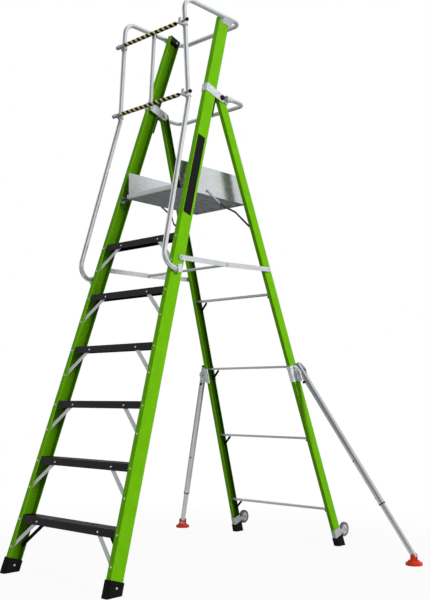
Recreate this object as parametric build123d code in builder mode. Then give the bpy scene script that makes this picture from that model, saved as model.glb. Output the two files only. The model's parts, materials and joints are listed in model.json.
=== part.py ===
from build123d import *
import os
from math import atan2, cos, degrees, hypot, radians, sin, sqrt, tan

# Front rails: straight channels, web outside, leaning back and tapering upwards
front_half_width = 432.0
front_foot_y = -3.0
rail_taper = 0.063
front_lean = radians(17.35)
front_depth = 82.0
front_flange = 33.0
rail_wall = 4.0
rail_corner = 3.0
rail_above_hinge = 534.0
cap_height = 5.0
cap_plug = 32.0

# Rear rails
rear_half_width = 434.0
rear_taper = 0.067
rear_lean = radians(18.77)
rear_depth = 60.0
rear_flange = 26.0
rear_hinge_depth = 20.7
rear_above_hinge = 18.0

# Rubber feet
boot_wall = 7.0
boot_sole = 12.0
front_boot_height = 81.0
rear_boot_height = 48.0

# Clearances
seat = 0.3
side_gap = 0.3
pin_fit = 0.05

# Steps
step_count = 6
first_step = 294.0
step_pitch = 304.8
step_face = 38.0
step_wall = 2.5
step_plate = 4.5
groove_count = 6
groove_width = 5.0
groove_depth = 1.2

# Knee straps under the steps
knee_width = 22.0
knee_thick = 3.0
knee_gap = 0.1
knee_inset = 133.0
knee_top_drop = 21.0
knee_foot_drop = 160.0
knee_spacer = 10.0
rivet_radius = 5.5
rivet_height = 2.5

# Top hinge
hinge_z = 2692.0
hinge_depth = 130.7
hinge_plate = 4.0
hinge_band = 52.0
hinge_lug = 26.0
hinge_pin = 8.0
hinge_collar = 13.0
hinge_knob_radius = 15.0
hinge_knob_length = 13.0
hinge_knob_round = 5.0
hinge_slack = 1.2
socket_plate = 62.0
socket_half = 15.0
socket_end = 6.0
socket_length = 40.0

# Handrails and guard rails
tube_radius = 14.0
tube_wall = 2.5
handrail_offset = 22.0
handrail_end = (547.0, 1608.0)
handrail_knee = (405.0, 1605.0)
post_y = 663.0
top_rail_drop = 12.0
top_rail_overhang = 118.0
knee_bend = 80.0
kink_bend = 60.0
top_bend = 75.0
rear_bend = 55.0
mid_radius = 12.5
mid_gap = 1.0
mid_socket = 28.0
mid_overhang = 165.0
mid_bend = 50.0
saddle_half = 42.0
saddle_drop = 34.0
saddle_root = 10.0
saddle_foot = 6.0
saddle_lip = 9.0
clamp_length = 30.0
clamp_height = 44.0
clamp_setback = 20.0
clamp_round = 6.0

# Gate
gate_bar_radius = 12.0
gate_rod_radius = 6.0
gate_tie_radius = 12.0
gate_upper_drop = 164.0
gate_spacing = 428.0
gate_kink_drop = 30.0
gate_ring_radius = 19.0
gate_ring_height = 24.0
gate_pin = 6.0
gate_tie_pin = 5.0
gate_tie_end = 16.0
gate_tail = 28.0
gate_bar_stop = 44.0
gate_knob_reach = 48.0
gate_knob_radius = 11.0
gate_gap = 0.5
cradle_half = 10.0
cradle_wall = 5.5
cradle_drop = 15.0
cradle_back = 12.0
cradle_front = 22.0

# Platform
deck_half = 211.5
deck_front = 668.0
deck_back = 1255.0
deck_top = 2122.0
deck_height = 24.0
deck_plate = 4.0
deck_rib = 3.0
deck_ribs = 7
toe_thick = 2.5
toe_top = 2262.0
toe_front = 672.0
toe_round = 12.0
nosing_depth = 12.0
nosing_half = 212.0
nosing_cap = 8.0
nosing_lip = 2.0
nosing_cap_above = 20.0
nosing_round = 3.0
platform_y = 690.0
platform_z = 2110.0
platform_pin = 7.0
platform_collar = 10.0
platform_pad = 22.0
platform_pad_height = 6.0
strap_pin_y = 905.0
strap_pin_z = 2122.0
strap_foot_y = 1225.0
strap_foot_z = 1953.0
strap_width = 12.0
strap_thick = 3.0
strap_pin = 4.0
strap_head = 8.0
strap_head_height = 2.5
strap_foot_x = 259.0
strap_joggle_start = 0.40
strap_joggle_end = 0.60
pivot_plate = 4.0
pivot_plate_radius = 18.0
pivot_tab_start = 12.0
pivot_tab_length = 48.0
pivot_tab_height = 52.0

# Spreader
spreader_front = (568.0, 1675.0)
spreader_mid = (950.0, 1677.5)
spreader_rear = (1322.0, 1691.0)
link_width = 28.0
link_thick = 3.0
link_standoff = 4.5
link_pin = 6.0
link_head = 8.0
link_head_height = 3.0
boss_radius = 15.0
boss_root = 20.0
cross_bar_radius = 8.0

# Rear rungs
rung_heights = (225.0, 668.0, 1109.0, 1548.0)
rung_height = 13.0
rung_depth = 28.0
rung_wall = 2.5
rung_brace_drop = 62.0
rung_brace_inset = 42.0
rung_brace_width = 14.0

# Transport wheels, each behind a sleeve that sits above the rear foot
sleeve_wall = 3.0
sleeve_gap = 2.0
sleeve_height = 47.0
axle_above_sleeve = 8.0
axle_gap = 8.0
axle_radius = 5.0
axle_half = 24.0
wheel_radius = 44.0
wheel_width = 17.0
wheel_round = 3.0
tyre_depth = 15.0
hub_recess = 2.0
arm_width = 24.0
arm_rise = 16.0

# Outriggers
outrigger_z = 1062.0
outrigger_offset = 54.0
outrigger_depth = 52.0
outrigger_aim = Vector(0.54, 0.10, -0.835)
right_swing = radians(31.0)
left_swing = radians(18.8)
outer_radius = 19.0
outer_wall = 2.5
outer_above = 56.0
outer_below = 900.0
leg_wall = 2.5
leg_length = 620.0
adjust_holes = (620.0, 760.0, 860.0)
adjust_radius = 5.0
bracket_wall = 5.0
bracket_half = 50.0
bracket_ear = 6.0
ear_gap = 1.0
ear_root = 4.0
ear_reach = 18.0
ear_chamfer = 14.0
ear_shoulder = 34.0
outrigger_pin = 6.0
pin_head_radius = 10.0
pin_head_height = 6.0
button_drop = 65.0
button_radius = 8.0
button_head = 7.0
button_stem = 4.0
button_root = 8.0
button_gap = 1.0
button_travel = 5.0
leg_end = 10.0
leg_plug = 30.0
foot_slack = 0.8
foot_radius = 47.0
foot_rim = 7.0
foot_pin_z = 48.0
foot_pin = 5.0
foot_pin_end = 3.0
foot_ear = 5.0
foot_ear_radius = 14.0
foot_base = 14.0
foot_neck = 26.0

front_slope = sqrt(1 + rail_taper**2 + tan(front_lean) ** 2)
rear_slope = sqrt(1 + rear_taper**2 + tan(rear_lean) ** 2)
rail_top = hinge_z + rail_above_hinge
hinge_y = front_foot_y + hinge_z * tan(front_lean) + hinge_depth / cos(front_lean)
rear_foot_y = hinge_y - rear_hinge_depth / cos(rear_lean) + hinge_z * tan(rear_lean)


# Faces and planes of the right-hand rails
def front_web(z):
    return front_half_width - rail_taper * z


def front_edge(z):
    return front_foot_y + z * tan(front_lean)


def rear_web(z):
    return rear_half_width - rear_taper * z


def rear_edge(z):
    return rear_foot_y - z * tan(rear_lean)


def front_plane(z):
    """Section plane of the right front rail: X across the depth, Y inwards, Z up the rail."""
    return Plane(
        origin=(front_web(z), front_edge(z), z),
        x_dir=(0, cos(front_lean), -sin(front_lean)),
        z_dir=(-rail_taper, tan(front_lean), 1),
    )


def rear_plane(z):
    """Section plane of the right rear rail: X across the depth, Y inwards, Z up the rail."""
    return Plane(
        origin=(rear_web(z), rear_edge(z), z),
        x_dir=(0, cos(rear_lean), sin(rear_lean)),
        z_dir=(-rear_taper, -tan(rear_lean), 1),
    )


def web_cut(plane, depth, side=1):
    """Plane parallel to a rail's web, facing inwards, depth inside the outer face."""
    point = plane.from_local_coords(Vector(0, depth, 0))
    normal = plane.y_dir
    return Plane(origin=(side * point.X, point.Y, point.Z), z_dir=(side * normal.X, normal.Y, normal.Z))


def front_face(z, inset):
    """Plane parallel to the front faces of the front rails, facing forwards."""
    return Plane(
        origin=(0, front_edge(z) + inset * cos(front_lean), z - inset * sin(front_lean)),
        x_dir=(1, 0, 0),
        z_dir=(0, -cos(front_lean), sin(front_lean)),
    )


def rear_face(z, inset):
    """Plane parallel to the front faces of the rear rails, facing forwards."""
    return Plane(
        origin=(0, rear_edge(z) + inset * cos(rear_lean), z + inset * sin(rear_lean)),
        x_dir=(1, 0, 0),
        z_dir=(0, -cos(rear_lean), -sin(rear_lean)),
    )


def channel_section(depth, flange):
    """Channel with its web on the local X axis."""
    Rectangle(depth, flange, align=(Align.MIN, Align.MIN))
    fillet(vertices().group_by(Axis.Y)[0], rail_corner)
    with Locations((rail_wall, rail_wall)):
        Rectangle(depth - 2 * rail_wall, flange, align=(Align.MIN, Align.MIN), mode=Mode.SUBTRACT)


def rod_x(x_from, x_to, y, z, radius, mode=Mode.ADD):
    """Round bar or hole along X."""
    with BuildSketch(Plane.YZ.offset(x_from)) as profile:
        with Locations((y, z)):
            Circle(radius)
    extrude(profile.sketch, amount=x_to - x_from, mode=mode)


def rod_y(y_from, y_to, x, z, radius, mode=Mode.ADD):
    """Round bar or hole along Y."""
    with BuildSketch(Plane.XZ.offset(-y_to)) as profile:
        with Locations((x, z)):
            Circle(radius)
    extrude(profile.sketch, amount=y_to - y_from, mode=mode)


def rod_along(start, direction, length, radius, mode=Mode.ADD):
    """Round bar or hole along any direction."""
    with BuildSketch(Plane(origin=start, z_dir=direction)) as profile:
        Circle(radius)
    extrude(profile.sketch, amount=length, mode=mode)


def strap(plane, start, end, width, thick):
    """Flat strap with round ends between two points of a plane."""
    middle = ((start[0] + end[0]) / 2, (start[1] + end[1]) / 2)
    length = hypot(end[0] - start[0], end[1] - start[1])
    turn = degrees(atan2(end[1] - start[1], end[0] - start[0]))
    with BuildSketch(plane) as profile:
        with Locations(middle):
            SlotCenterToCenter(length, width, rotation=turn)
    extrude(profile.sketch, amount=thick)


def mirrored(part):
    """Left-hand copy of a right-hand piece."""
    with BuildPart() as copy:
        mirror(part, about=Plane.YZ)
    return copy.part


pieces = {}

# Front rails
with BuildPart() as front_rail_right:
    with BuildSketch(front_plane(-front_boot_height)):
        channel_section(front_depth, front_flange)
    extrude(amount=(rail_top + front_boot_height) * front_slope)
    split(bisect_by=Plane.XY.offset(boot_sole), keep=Keep.TOP)
pieces["front_rail_right"] = front_rail_right.part
pieces["front_rail_left"] = mirrored(front_rail_right.part)

# Front feet
with BuildPart() as front_feet:
    with BuildSketch(front_plane(-front_boot_height)):
        with Locations((-boot_wall, -boot_wall)):
            Rectangle(
                front_depth + 2 * boot_wall, front_flange + 2 * boot_wall, align=(Align.MIN, Align.MIN)
            )
        fillet(vertices(), rail_corner + boot_wall)
    extrude(amount=2 * front_boot_height * front_slope)
    add(front_rail_right.part, mode=Mode.SUBTRACT)
    split(bisect_by=Plane.XY, keep=Keep.TOP)
    mirror(about=Plane.YZ)
pieces["front_feet"] = front_feet.part

# Caps on the rail tops
with BuildPart() as rail_top_caps:
    with BuildSketch(front_plane(rail_top)):
        Rectangle(front_depth, front_flange, align=(Align.MIN, Align.MIN))
        fillet(vertices(), rail_corner)
    extrude(amount=cap_height)
    with BuildSketch(front_plane(rail_top)):
        with Locations((rail_wall + seat, rail_wall + seat)):
            Rectangle(
                front_depth - 2 * (rail_wall + seat),
                front_flange - rail_wall - seat,
                align=(Align.MIN, Align.MIN),
            )
    extrude(amount=-cap_plug)
    mirror(about=Plane.YZ)
pieces["rail_top_caps"] = rail_top_caps.part

# Steps: grooved channels held inside the rails
step_heights = [first_step + number * step_pitch for number in range(step_count)]
for number, z in enumerate(step_heights):
    front = front_edge(z) + (rail_wall + seat) / cos(front_lean)
    back = front_edge(z) + (front_depth - rail_wall - seat) / cos(front_lean)
    wall = step_wall / cos(front_lean)
    low = step_face * tan(front_lean)
    mid = step_plate * tan(front_lean)
    groove_step = (back - front) / (groove_count + 1)
    with BuildPart() as step:
        with BuildSketch(Plane.YZ):
            with BuildLine():
                Polyline(
                    (front, z),
                    (back, z),
                    (back - low, z - step_face),
                    (back - low - wall, z - step_face),
                    (back - mid - wall, z - step_plate),
                    (front - mid + wall, z - step_plate),
                    (front - low + wall, z - step_face),
                    (front - low, z - step_face),
                    close=True,
                )
            make_face()
            with Locations(*[(front + (groove + 1) * groove_step, z) for groove in range(groove_count)]):
                Rectangle(groove_width, 2 * groove_depth, mode=Mode.SUBTRACT)
        extrude(amount=front_half_width, both=True)
        split(bisect_by=web_cut(front_plane(z), rail_wall + side_gap, 1), keep=Keep.TOP)
        split(bisect_by=web_cut(front_plane(z), rail_wall + side_gap, -1), keep=Keep.TOP)
    pieces[f"step_{number + 1}"] = step.part


# Knee straps under the steps, riveted inside the front flanges
def knee_ends(z, inset):
    """Top and foot of a knee strap on the plane that lies inset behind the rails' front faces."""
    top_x = front_web(z - knee_top_drop) - front_flange - knee_inset
    foot_x = front_web(z - knee_foot_drop) - front_flange / 2
    top_y = (inset * sin(front_lean) - knee_top_drop) / cos(front_lean)
    foot_y = (inset * sin(front_lean) - knee_foot_drop) / cos(front_lean)
    return (top_x, top_y), (foot_x, foot_y)


knee_near = rail_wall + seat + step_wall + knee_gap
knee_far = front_depth - knee_near
with BuildPart() as step_knee_straps:
    for z in step_heights:
        top, foot = knee_ends(z, knee_near)
        strap(front_face(z, knee_near), top, foot, knee_width, -knee_thick)
        with BuildSketch(front_face(z, knee_near)):
            with Locations(foot):
                Circle(knee_spacer)
        extrude(amount=knee_near - rail_wall)
    mirror(about=Plane.YZ)
pieces["step_knee_straps"] = step_knee_straps.part

# Second pair of straps behind the lowest step, riveted inside the rear flanges
with BuildPart() as step_rear_straps:
    top, foot = knee_ends(first_step, knee_far)
    strap(front_face(first_step, knee_far), top, foot, knee_width, knee_thick)
    with BuildSketch(front_face(first_step, knee_far)):
        with Locations(foot):
            Circle(knee_spacer)
    extrude(amount=rail_wall - knee_near)
    mirror(about=Plane.YZ)
pieces["step_rear_straps"] = step_rear_straps.part

# Rivet heads on the step faces and on the front flanges
with BuildPart() as step_rivets:
    for z in step_heights:
        end_x = front_web(z - knee_top_drop) - front_flange / 2
        top, foot = knee_ends(z, rail_wall + seat)
        with BuildSketch(front_face(z, rail_wall + seat)):
            with Locations(top):
                Circle(rivet_radius)
        extrude(amount=rivet_height, taper=35)
        top, foot = knee_ends(z, 0)
        with BuildSketch(front_face(z, 0)):
            with Locations((end_x, top[1]), foot):
                Circle(rivet_radius)
        extrude(amount=rivet_height, taper=35)
    mirror(about=Plane.YZ)
pieces["step_rivets"] = step_rivets.part


# Handrails: clamped low on the rail, then up, a post beside the platform and a run to the rail top
def post_x(z):
    return front_web(z) + handrail_offset


def handrail_point(y, z):
    return (post_x(z), y, z)


top_rail_z = rail_top - top_rail_drop
top_rail_x = post_x(top_rail_z)
top_rail_split = front_edge(top_rail_z) + front_depth / 2 / cos(front_lean)
top_rail_back = top_rail_split + top_rail_overhang
gate_upper_z = top_rail_z - gate_upper_drop
gate_lower_z = gate_upper_z - gate_spacing
with BuildPart() as handrail_right:
    with BuildLine() as handrail_path:
        FilletPolyline(
            handrail_point(*handrail_end),
            handrail_point(*handrail_knee),
            handrail_point(post_y, gate_lower_z - gate_kink_drop),
            handrail_point(post_y, top_rail_z),
            handrail_point(top_rail_split, top_rail_z),
            radius=[knee_bend, kink_bend, top_bend],
        )
    with BuildSketch(Plane(origin=handrail_path.line @ 0, z_dir=handrail_path.line % 0)):
        Circle(tube_radius)
        Circle(tube_radius - tube_wall, mode=Mode.SUBTRACT)
    sweep()
pieces["handrail_right"] = handrail_right.part
pieces["handrail_left"] = mirrored(handrail_right.part)

# Guard rails
with BuildPart() as top_guard_rail:
    with BuildLine() as top_path:
        FilletPolyline(
            (top_rail_x, top_rail_split, top_rail_z),
            (top_rail_x, top_rail_back, top_rail_z),
            (-top_rail_x, top_rail_back, top_rail_z),
            (-top_rail_x, top_rail_split, top_rail_z),
            radius=rear_bend,
        )
    with BuildSketch(Plane(origin=top_path.line @ 0, z_dir=top_path.line % 0)):
        Circle(tube_radius)
        Circle(tube_radius - tube_wall, mode=Mode.SUBTRACT)
    sweep()
pieces["top_guard_rail"] = top_guard_rail.part

hinge_plane = front_plane(hinge_z + hinge_depth * sin(front_lean))
hinge_web = hinge_plane.origin.X
rear_hinge_web = rear_web(hinge_z - (hinge_y - rear_edge(hinge_z)) * sin(rear_lean) * cos(rear_lean))
mid_x = hinge_web + hinge_plate + mid_radius + mid_gap
mid_front = hinge_y + mid_socket
mid_back = mid_front + mid_overhang
with BuildPart() as mid_guard_rail:
    with BuildLine() as mid_path:
        FilletPolyline(
            (mid_x, mid_front, hinge_z),
            (mid_x, mid_back, hinge_z),
            (-mid_x, mid_back, hinge_z),
            (-mid_x, mid_front, hinge_z),
            radius=mid_bend,
        )
    with BuildSketch(Plane(origin=mid_path.line @ 0, z_dir=mid_path.line % 0)):
        Circle(mid_radius)
        Circle(mid_radius - tube_wall, mode=Mode.SUBTRACT)
    sweep()
pieces["mid_guard_rail"] = mid_guard_rail.part

# Saddles that hold the top rail at the rail tops
saddle_low = top_rail_z - saddle_drop
with BuildPart() as top_rail_saddles:
    with BuildSketch(Plane.XZ.offset(-top_rail_split)):
        with BuildLine():
            Polyline(
                (front_web(saddle_low) - saddle_root, saddle_low),
                (front_web(saddle_low) + saddle_foot, saddle_low),
                (top_rail_x + saddle_lip, top_rail_z - tube_radius),
                (top_rail_x + saddle_lip, top_rail_z - tube_radius / 2),
                (front_web(top_rail_z) - saddle_root, top_rail_z - tube_radius / 2),
                close=True,
            )
        make_face()
    extrude(amount=saddle_half, both=True)
    split(bisect_by=web_cut(front_plane(top_rail_z), 0), keep=Keep.BOTTOM)
    rod_y(
        top_rail_split - 2 * saddle_half,
        top_rail_split + 2 * saddle_half,
        top_rail_x,
        top_rail_z,
        tube_radius + pin_fit,
        Mode.SUBTRACT,
    )
    mirror(about=Plane.YZ)
pieces["top_rail_saddles"] = top_rail_saddles.part

# Clamps at the lower handrail ends
clamp_run = Vector(*handrail_point(*handrail_end)) - Vector(*handrail_point(*handrail_knee))
clamp_dir = clamp_run.normalized()
clamp_mid = Vector(*handrail_point(*handrail_end)) - clamp_dir * clamp_setback
with BuildPart() as handrail_clamps:
    with BuildSketch(Plane.YZ.offset(clamp_mid.X - 2 * handrail_offset)):
        with Locations((clamp_mid.Y, clamp_mid.Z)):
            RectangleRounded(
                clamp_length, clamp_height, clamp_round, rotation=degrees(atan2(clamp_dir.Z, clamp_dir.Y))
            )
    extrude(amount=2 * handrail_offset + tube_radius + hinge_plate)
    split(bisect_by=web_cut(front_plane(clamp_mid.Z), 0), keep=Keep.BOTTOM)
    bore_start = clamp_mid - clamp_dir * clamp_height
    rod_along(bore_start, clamp_dir, 2 * clamp_height, tube_radius + pin_fit, Mode.SUBTRACT)
    mirror(about=Plane.YZ)
pieces["handrail_clamps"] = handrail_clamps.part

# Hinge brackets: a band round each front rail, with two lugs behind it and a socket for the mid rail
with BuildPart() as hinge_brackets:
    with BuildSketch(hinge_plane):
        with Locations((-hinge_plate, -hinge_plate)):
            Rectangle(
                hinge_depth + hinge_plate, front_flange + 2 * hinge_plate, align=(Align.MIN, Align.MIN)
            )
        Rectangle(hinge_depth, front_flange, align=(Align.MIN, Align.MIN), mode=Mode.SUBTRACT)
    extrude(amount=hinge_band / 2, both=True)
    for inner in (-hinge_plate, front_flange):
        lug = hinge_plane.from_local_coords(Vector(hinge_depth, inner, 0))
        rod_along(lug, hinge_plane.y_dir, hinge_plate, hinge_lug)
    with BuildSketch(hinge_plane):
        with Locations((hinge_depth, -hinge_plate)):
            Rectangle(socket_plate, hinge_plate, align=(Align.MIN, Align.MIN))
    extrude(amount=socket_half, both=True)
    rod_y(mid_front - socket_end, mid_front + socket_length, mid_x, hinge_z, mid_radius + hinge_plate)
    rod_y(mid_front, mid_front + 2 * socket_length, mid_x, hinge_z, mid_radius + pin_fit, Mode.SUBTRACT)
    rod_x(hinge_web - hinge_depth, mid_x, hinge_y, hinge_z, hinge_pin + pin_fit, Mode.SUBTRACT)
    add(front_rail_right.part, mode=Mode.SUBTRACT)
    mirror(about=Plane.YZ)
pieces["hinge_brackets"] = hinge_brackets.part

# Hinge bolts with black knobs
bolt_start = hinge_web - front_flange - 2 * hinge_plate - socket_end
knob_start = hinge_web + hinge_plate + hinge_slack
with BuildPart() as hinge_bolts:
    rod_x(bolt_start, knob_start, hinge_y, hinge_z, hinge_pin)
    rod_x(bolt_start, bolt_start + hinge_pin, hinge_y, hinge_z, hinge_collar)
    rod_x(rear_hinge_web + hinge_slack, hinge_web - hinge_slack, hinge_y, hinge_z, hinge_collar)
    rod_x(knob_start, knob_start + hinge_knob_length, hinge_y, hinge_z, hinge_knob_radius)
    fillet(edges().filter_by(GeomType.CIRCLE).group_by(Axis.X)[-1], hinge_knob_round)
    mirror(about=Plane.YZ)
pieces["hinge_bolts"] = hinge_bolts.part

# Gate pivots on the left post, cradles on the right post
gate_y = post_y - gate_ring_radius - gate_bar_radius - 2 * gate_gap
gate_pin_end = gate_y - gate_bar_radius - gate_gap
post_bore_start = Vector(*handrail_point(post_y, gate_lower_z - 2 * gate_ring_height))
post_bore_length = gate_spacing + 4 * gate_ring_height
with BuildPart() as gate_pivots:
    for z in (gate_upper_z, gate_lower_z):
        with BuildSketch(Plane(origin=(post_x(z), post_y, z), z_dir=(-rail_taper, 0, 1))):
            Circle(gate_ring_radius)
        extrude(amount=gate_ring_height / 2, both=True)
        rod_y(gate_pin_end, post_y - tube_radius, post_x(z), z, gate_pin)
        rod_y(gate_pin_end - rivet_height, gate_pin_end, post_x(z), z, gate_pin + rail_wall)
    rod_along(
        post_bore_start, Vector(-rail_taper, 0, 1), post_bore_length, tube_radius + pin_fit, Mode.SUBTRACT
    )
with BuildPart() as gate_pivot_brackets:
    mirror(gate_pivots.part, about=Plane.YZ)
pieces["gate_pivot_brackets"] = gate_pivot_brackets.part

with BuildPart() as gate_cradles:
    for z in (gate_upper_z, gate_lower_z):
        with BuildSketch(Plane(origin=(post_x(z), post_y, z), z_dir=(-rail_taper, 0, 1))):
            Circle(gate_ring_radius)
        extrude(amount=gate_ring_height / 2, both=True)
        slot_front = gate_y - gate_rod_radius - 3 * gate_gap
        slot_back = gate_y + gate_rod_radius + 3 * gate_gap
        with BuildSketch(Plane.YZ.offset(post_x(z) - cradle_half)):
            with BuildLine():
                Polyline(
                    (post_y - tube_radius, z - cradle_drop),
                    (slot_front - cradle_wall, z - cradle_drop),
                    (slot_front - cradle_wall, z + cradle_front),
                    (slot_front, z + cradle_front),
                    (slot_front, z - gate_rod_radius - seat),
                    (slot_back, z - gate_rod_radius - seat),
                    (slot_back, z + cradle_back),
                    (post_y - tube_radius, z + cradle_back),
                    close=True,
                )
            make_face()
        extrude(amount=2 * cradle_half)
    rod_along(
        post_bore_start, Vector(-rail_taper, 0, 1), post_bore_length, tube_radius + pin_fit, Mode.SUBTRACT
    )
pieces["gate_cradles"] = gate_cradles.part

# Gate bars with their tie pins, tie bar and ball knobs
tie_y = gate_y + gate_bar_radius + gate_gap + gate_tie_radius
tie_back = tie_y + gate_tie_radius + gate_gap
tie_half = rail_taper * gate_spacing / 2
for name, z, tie_x in (("upper", gate_upper_z, tie_half), ("lower", gate_lower_z, -tie_half)):
    with BuildPart() as gate_bar:
        rod_x(-post_x(z) - gate_tail, post_x(z) - gate_bar_stop, gate_y, z, gate_bar_radius)
        rod_x(post_x(z) - gate_bar_stop, post_x(z) + gate_knob_reach, gate_y, z, gate_rod_radius)
        rod_y(gate_y, tie_back, tie_x, z, gate_tie_pin)
        rod_y(tie_back, tie_back + rivet_height, tie_x, z, gate_tie_pin + hinge_plate)
        rod_y(
            gate_y - 2 * gate_bar_radius,
            gate_y + 2 * gate_bar_radius,
            -post_x(z),
            z,
            gate_pin + pin_fit,
            Mode.SUBTRACT,
        )
    pieces[f"gate_bar_{name}"] = gate_bar.part
    with BuildPart() as gate_knob:
        with Locations((post_x(z) + gate_knob_reach, gate_y, z)):
            Sphere(gate_knob_radius)
        add(gate_bar.part, mode=Mode.SUBTRACT)
    pieces[f"gate_knob_{name}"] = gate_knob.part

tie_run = Vector(2 * tie_half, 0, gate_upper_z - gate_lower_z)
tie_foot = Vector(-tie_half, tie_y, gate_lower_z)
with BuildPart() as gate_tie_bar:
    rod_along(
        tie_foot - tie_run.normalized() * gate_tie_end,
        tie_run,
        tie_run.length + 2 * gate_tie_end,
        gate_tie_radius,
    )
    for z, tie_x in ((gate_upper_z, tie_half), (gate_lower_z, -tie_half)):
        rod_y(
            tie_y - 2 * gate_tie_radius,
            tie_y + 2 * gate_tie_radius,
            tie_x,
            z,
            gate_tie_pin + pin_fit,
            Mode.SUBTRACT,
        )
pieces["gate_tie_bar"] = gate_tie_bar.part

# Platform deck: ribbed extrusion
rib_step = (2 * deck_half - deck_rib) / (deck_ribs - 1)
with BuildPart() as platform_deck:
    with BuildSketch(Plane.XZ.offset(-deck_back)):
        with Locations((0, deck_top)):
            Rectangle(2 * deck_half, deck_plate, align=(Align.CENTER, Align.MAX))
        with Locations(*[(-deck_half + rib * rib_step, deck_top - deck_plate) for rib in range(deck_ribs)]):
            Rectangle(deck_rib, deck_height - deck_plate, align=(Align.MIN, Align.MAX))
        with Locations(*[(-deck_half + (rib + 0.5) * rib_step, deck_top) for rib in range(deck_ribs - 1)]):
            Rectangle(groove_width, 2 * groove_depth, mode=Mode.SUBTRACT)
    extrude(amount=deck_back - deck_front)
pieces["platform_deck"] = platform_deck.part

with BuildPart() as platform_nosing:
    with BuildSketch(Plane.YZ.offset(-nosing_half)):
        with Locations((deck_front, deck_top - deck_height)):
            Rectangle(nosing_depth, deck_height + nosing_lip, align=(Align.MAX, Align.MIN))
        fillet(vertices().group_by(Axis.X)[0], nosing_round)
    extrude(amount=2 * nosing_half)
pieces["platform_nosing"] = platform_nosing.part

with BuildPart() as nosing_end_caps:
    with BuildSketch(Plane.YZ.offset(nosing_half)):
        with Locations((deck_front + nosing_lip, deck_top - deck_height - nosing_lip)):
            Rectangle(
                nosing_depth + 2 * nosing_lip,
                deck_height + nosing_lip + nosing_cap_above,
                align=(Align.MAX, Align.MIN),
            )
        fillet(vertices(), nosing_round)
    extrude(amount=nosing_cap)
    mirror(about=Plane.YZ)
pieces["nosing_end_caps"] = nosing_end_caps.part

# Toe boards
with BuildPart() as toe_board_right:
    with BuildSketch(Plane.YZ.offset(deck_half)):
        with Locations((toe_front, deck_top - deck_height)):
            Rectangle(
                deck_back + toe_thick - toe_front,
                toe_top - deck_top + deck_height,
                align=(Align.MIN, Align.MIN),
            )
        fillet(vertices().group_by(Axis.Y)[-1], toe_round)
    extrude(amount=toe_thick)
pieces["toe_board_right"] = toe_board_right.part
pieces["toe_board_left"] = mirrored(toe_board_right.part)

with BuildPart() as toe_board_rear:
    with BuildSketch(Plane.XZ.offset(-deck_back - toe_thick)):
        with Locations((0, deck_top - deck_height)):
            Rectangle(2 * deck_half, toe_top - deck_top + deck_height, align=(Align.CENTER, Align.MIN))
        fillet(vertices().group_by(Axis.Y)[-1], toe_round)
    extrude(amount=toe_thick)
pieces["toe_board_rear"] = toe_board_rear.part

# Pivot plates and strap pins on the side toe boards
toe_face = deck_half + toe_thick
strap_in = toe_face + seat
strap_out = strap_in + strap_thick
with BuildPart() as platform_pivot_plates:
    with BuildSketch(Plane.YZ.offset(toe_face)):
        with Locations((platform_y, platform_z)):
            Circle(pivot_plate_radius)
        with Locations((platform_y - pivot_tab_start, platform_z)):
            Rectangle(pivot_tab_length, pivot_tab_height, align=(Align.MIN, Align.MIN))
    extrude(amount=pivot_plate)
    rod_x(toe_face, toe_face + pivot_plate, platform_y, platform_z, platform_pin + pin_fit, Mode.SUBTRACT)
    head_in = strap_out + side_gap
    rod_x(toe_face, head_in, strap_pin_y, strap_pin_z, strap_pin)
    rod_x(head_in, head_in + strap_head_height, strap_pin_y, strap_pin_z, strap_head)
    mirror(about=Plane.YZ)
pieces["platform_pivot_plates"] = platform_pivot_plates.part

# Platform pivots: studs on pads inside the front rails
pivot_web = front_web(platform_z)
with BuildPart() as platform_pivots:
    rod_x(toe_face + seat, pivot_web, platform_y, platform_z, platform_pin)
    rod_x(toe_face + pivot_plate + side_gap, pivot_web, platform_y, platform_z, platform_collar)
    rod_x(pivot_web - rail_wall - platform_pad_height, pivot_web, platform_y, platform_z, platform_pad)
    split(bisect_by=web_cut(front_plane(platform_z), rail_wall), keep=Keep.TOP)
    mirror(about=Plane.YZ)
pieces["platform_pivots"] = platform_pivots.part

# Folding straps, joggled outwards from the platform sides to the rear rails
strap_run = Vector(0, strap_foot_y - strap_pin_y, strap_foot_z - strap_pin_z)
strap_end = strap_run.length + strap_width / 2
strap_bend = strap_run.length * strap_joggle_start
strap_level = strap_run.length * strap_joggle_end
strap_edge = Plane(
    origin=(0, strap_pin_y, strap_pin_z), x_dir=strap_run, z_dir=strap_run.cross(Vector(1, 0, 0))
)
with BuildPart() as platform_straps:
    with BuildSketch(strap_edge):
        with BuildLine():
            Polyline(
                (-strap_width / 2, strap_in),
                (strap_bend, strap_in),
                (strap_level, strap_foot_x),
                (strap_end, strap_foot_x),
                (strap_end, strap_foot_x + strap_thick),
                (strap_level, strap_foot_x + strap_thick),
                (strap_bend, strap_out),
                (-strap_width / 2, strap_out),
                close=True,
            )
        make_face()
    extrude(amount=strap_width / 2, both=True)
    fillet(edges().filter_by(Axis.X), strap_width / 2 - seat)
    rod_x(strap_in, strap_out, strap_pin_y, strap_pin_z, strap_pin + pin_fit, Mode.SUBTRACT)
    rod_x(strap_foot_x - strap_head_height, strap_foot_x, strap_foot_y, strap_foot_z, strap_pin)
    mirror(about=Plane.YZ)
pieces["platform_straps"] = platform_straps.part

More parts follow.
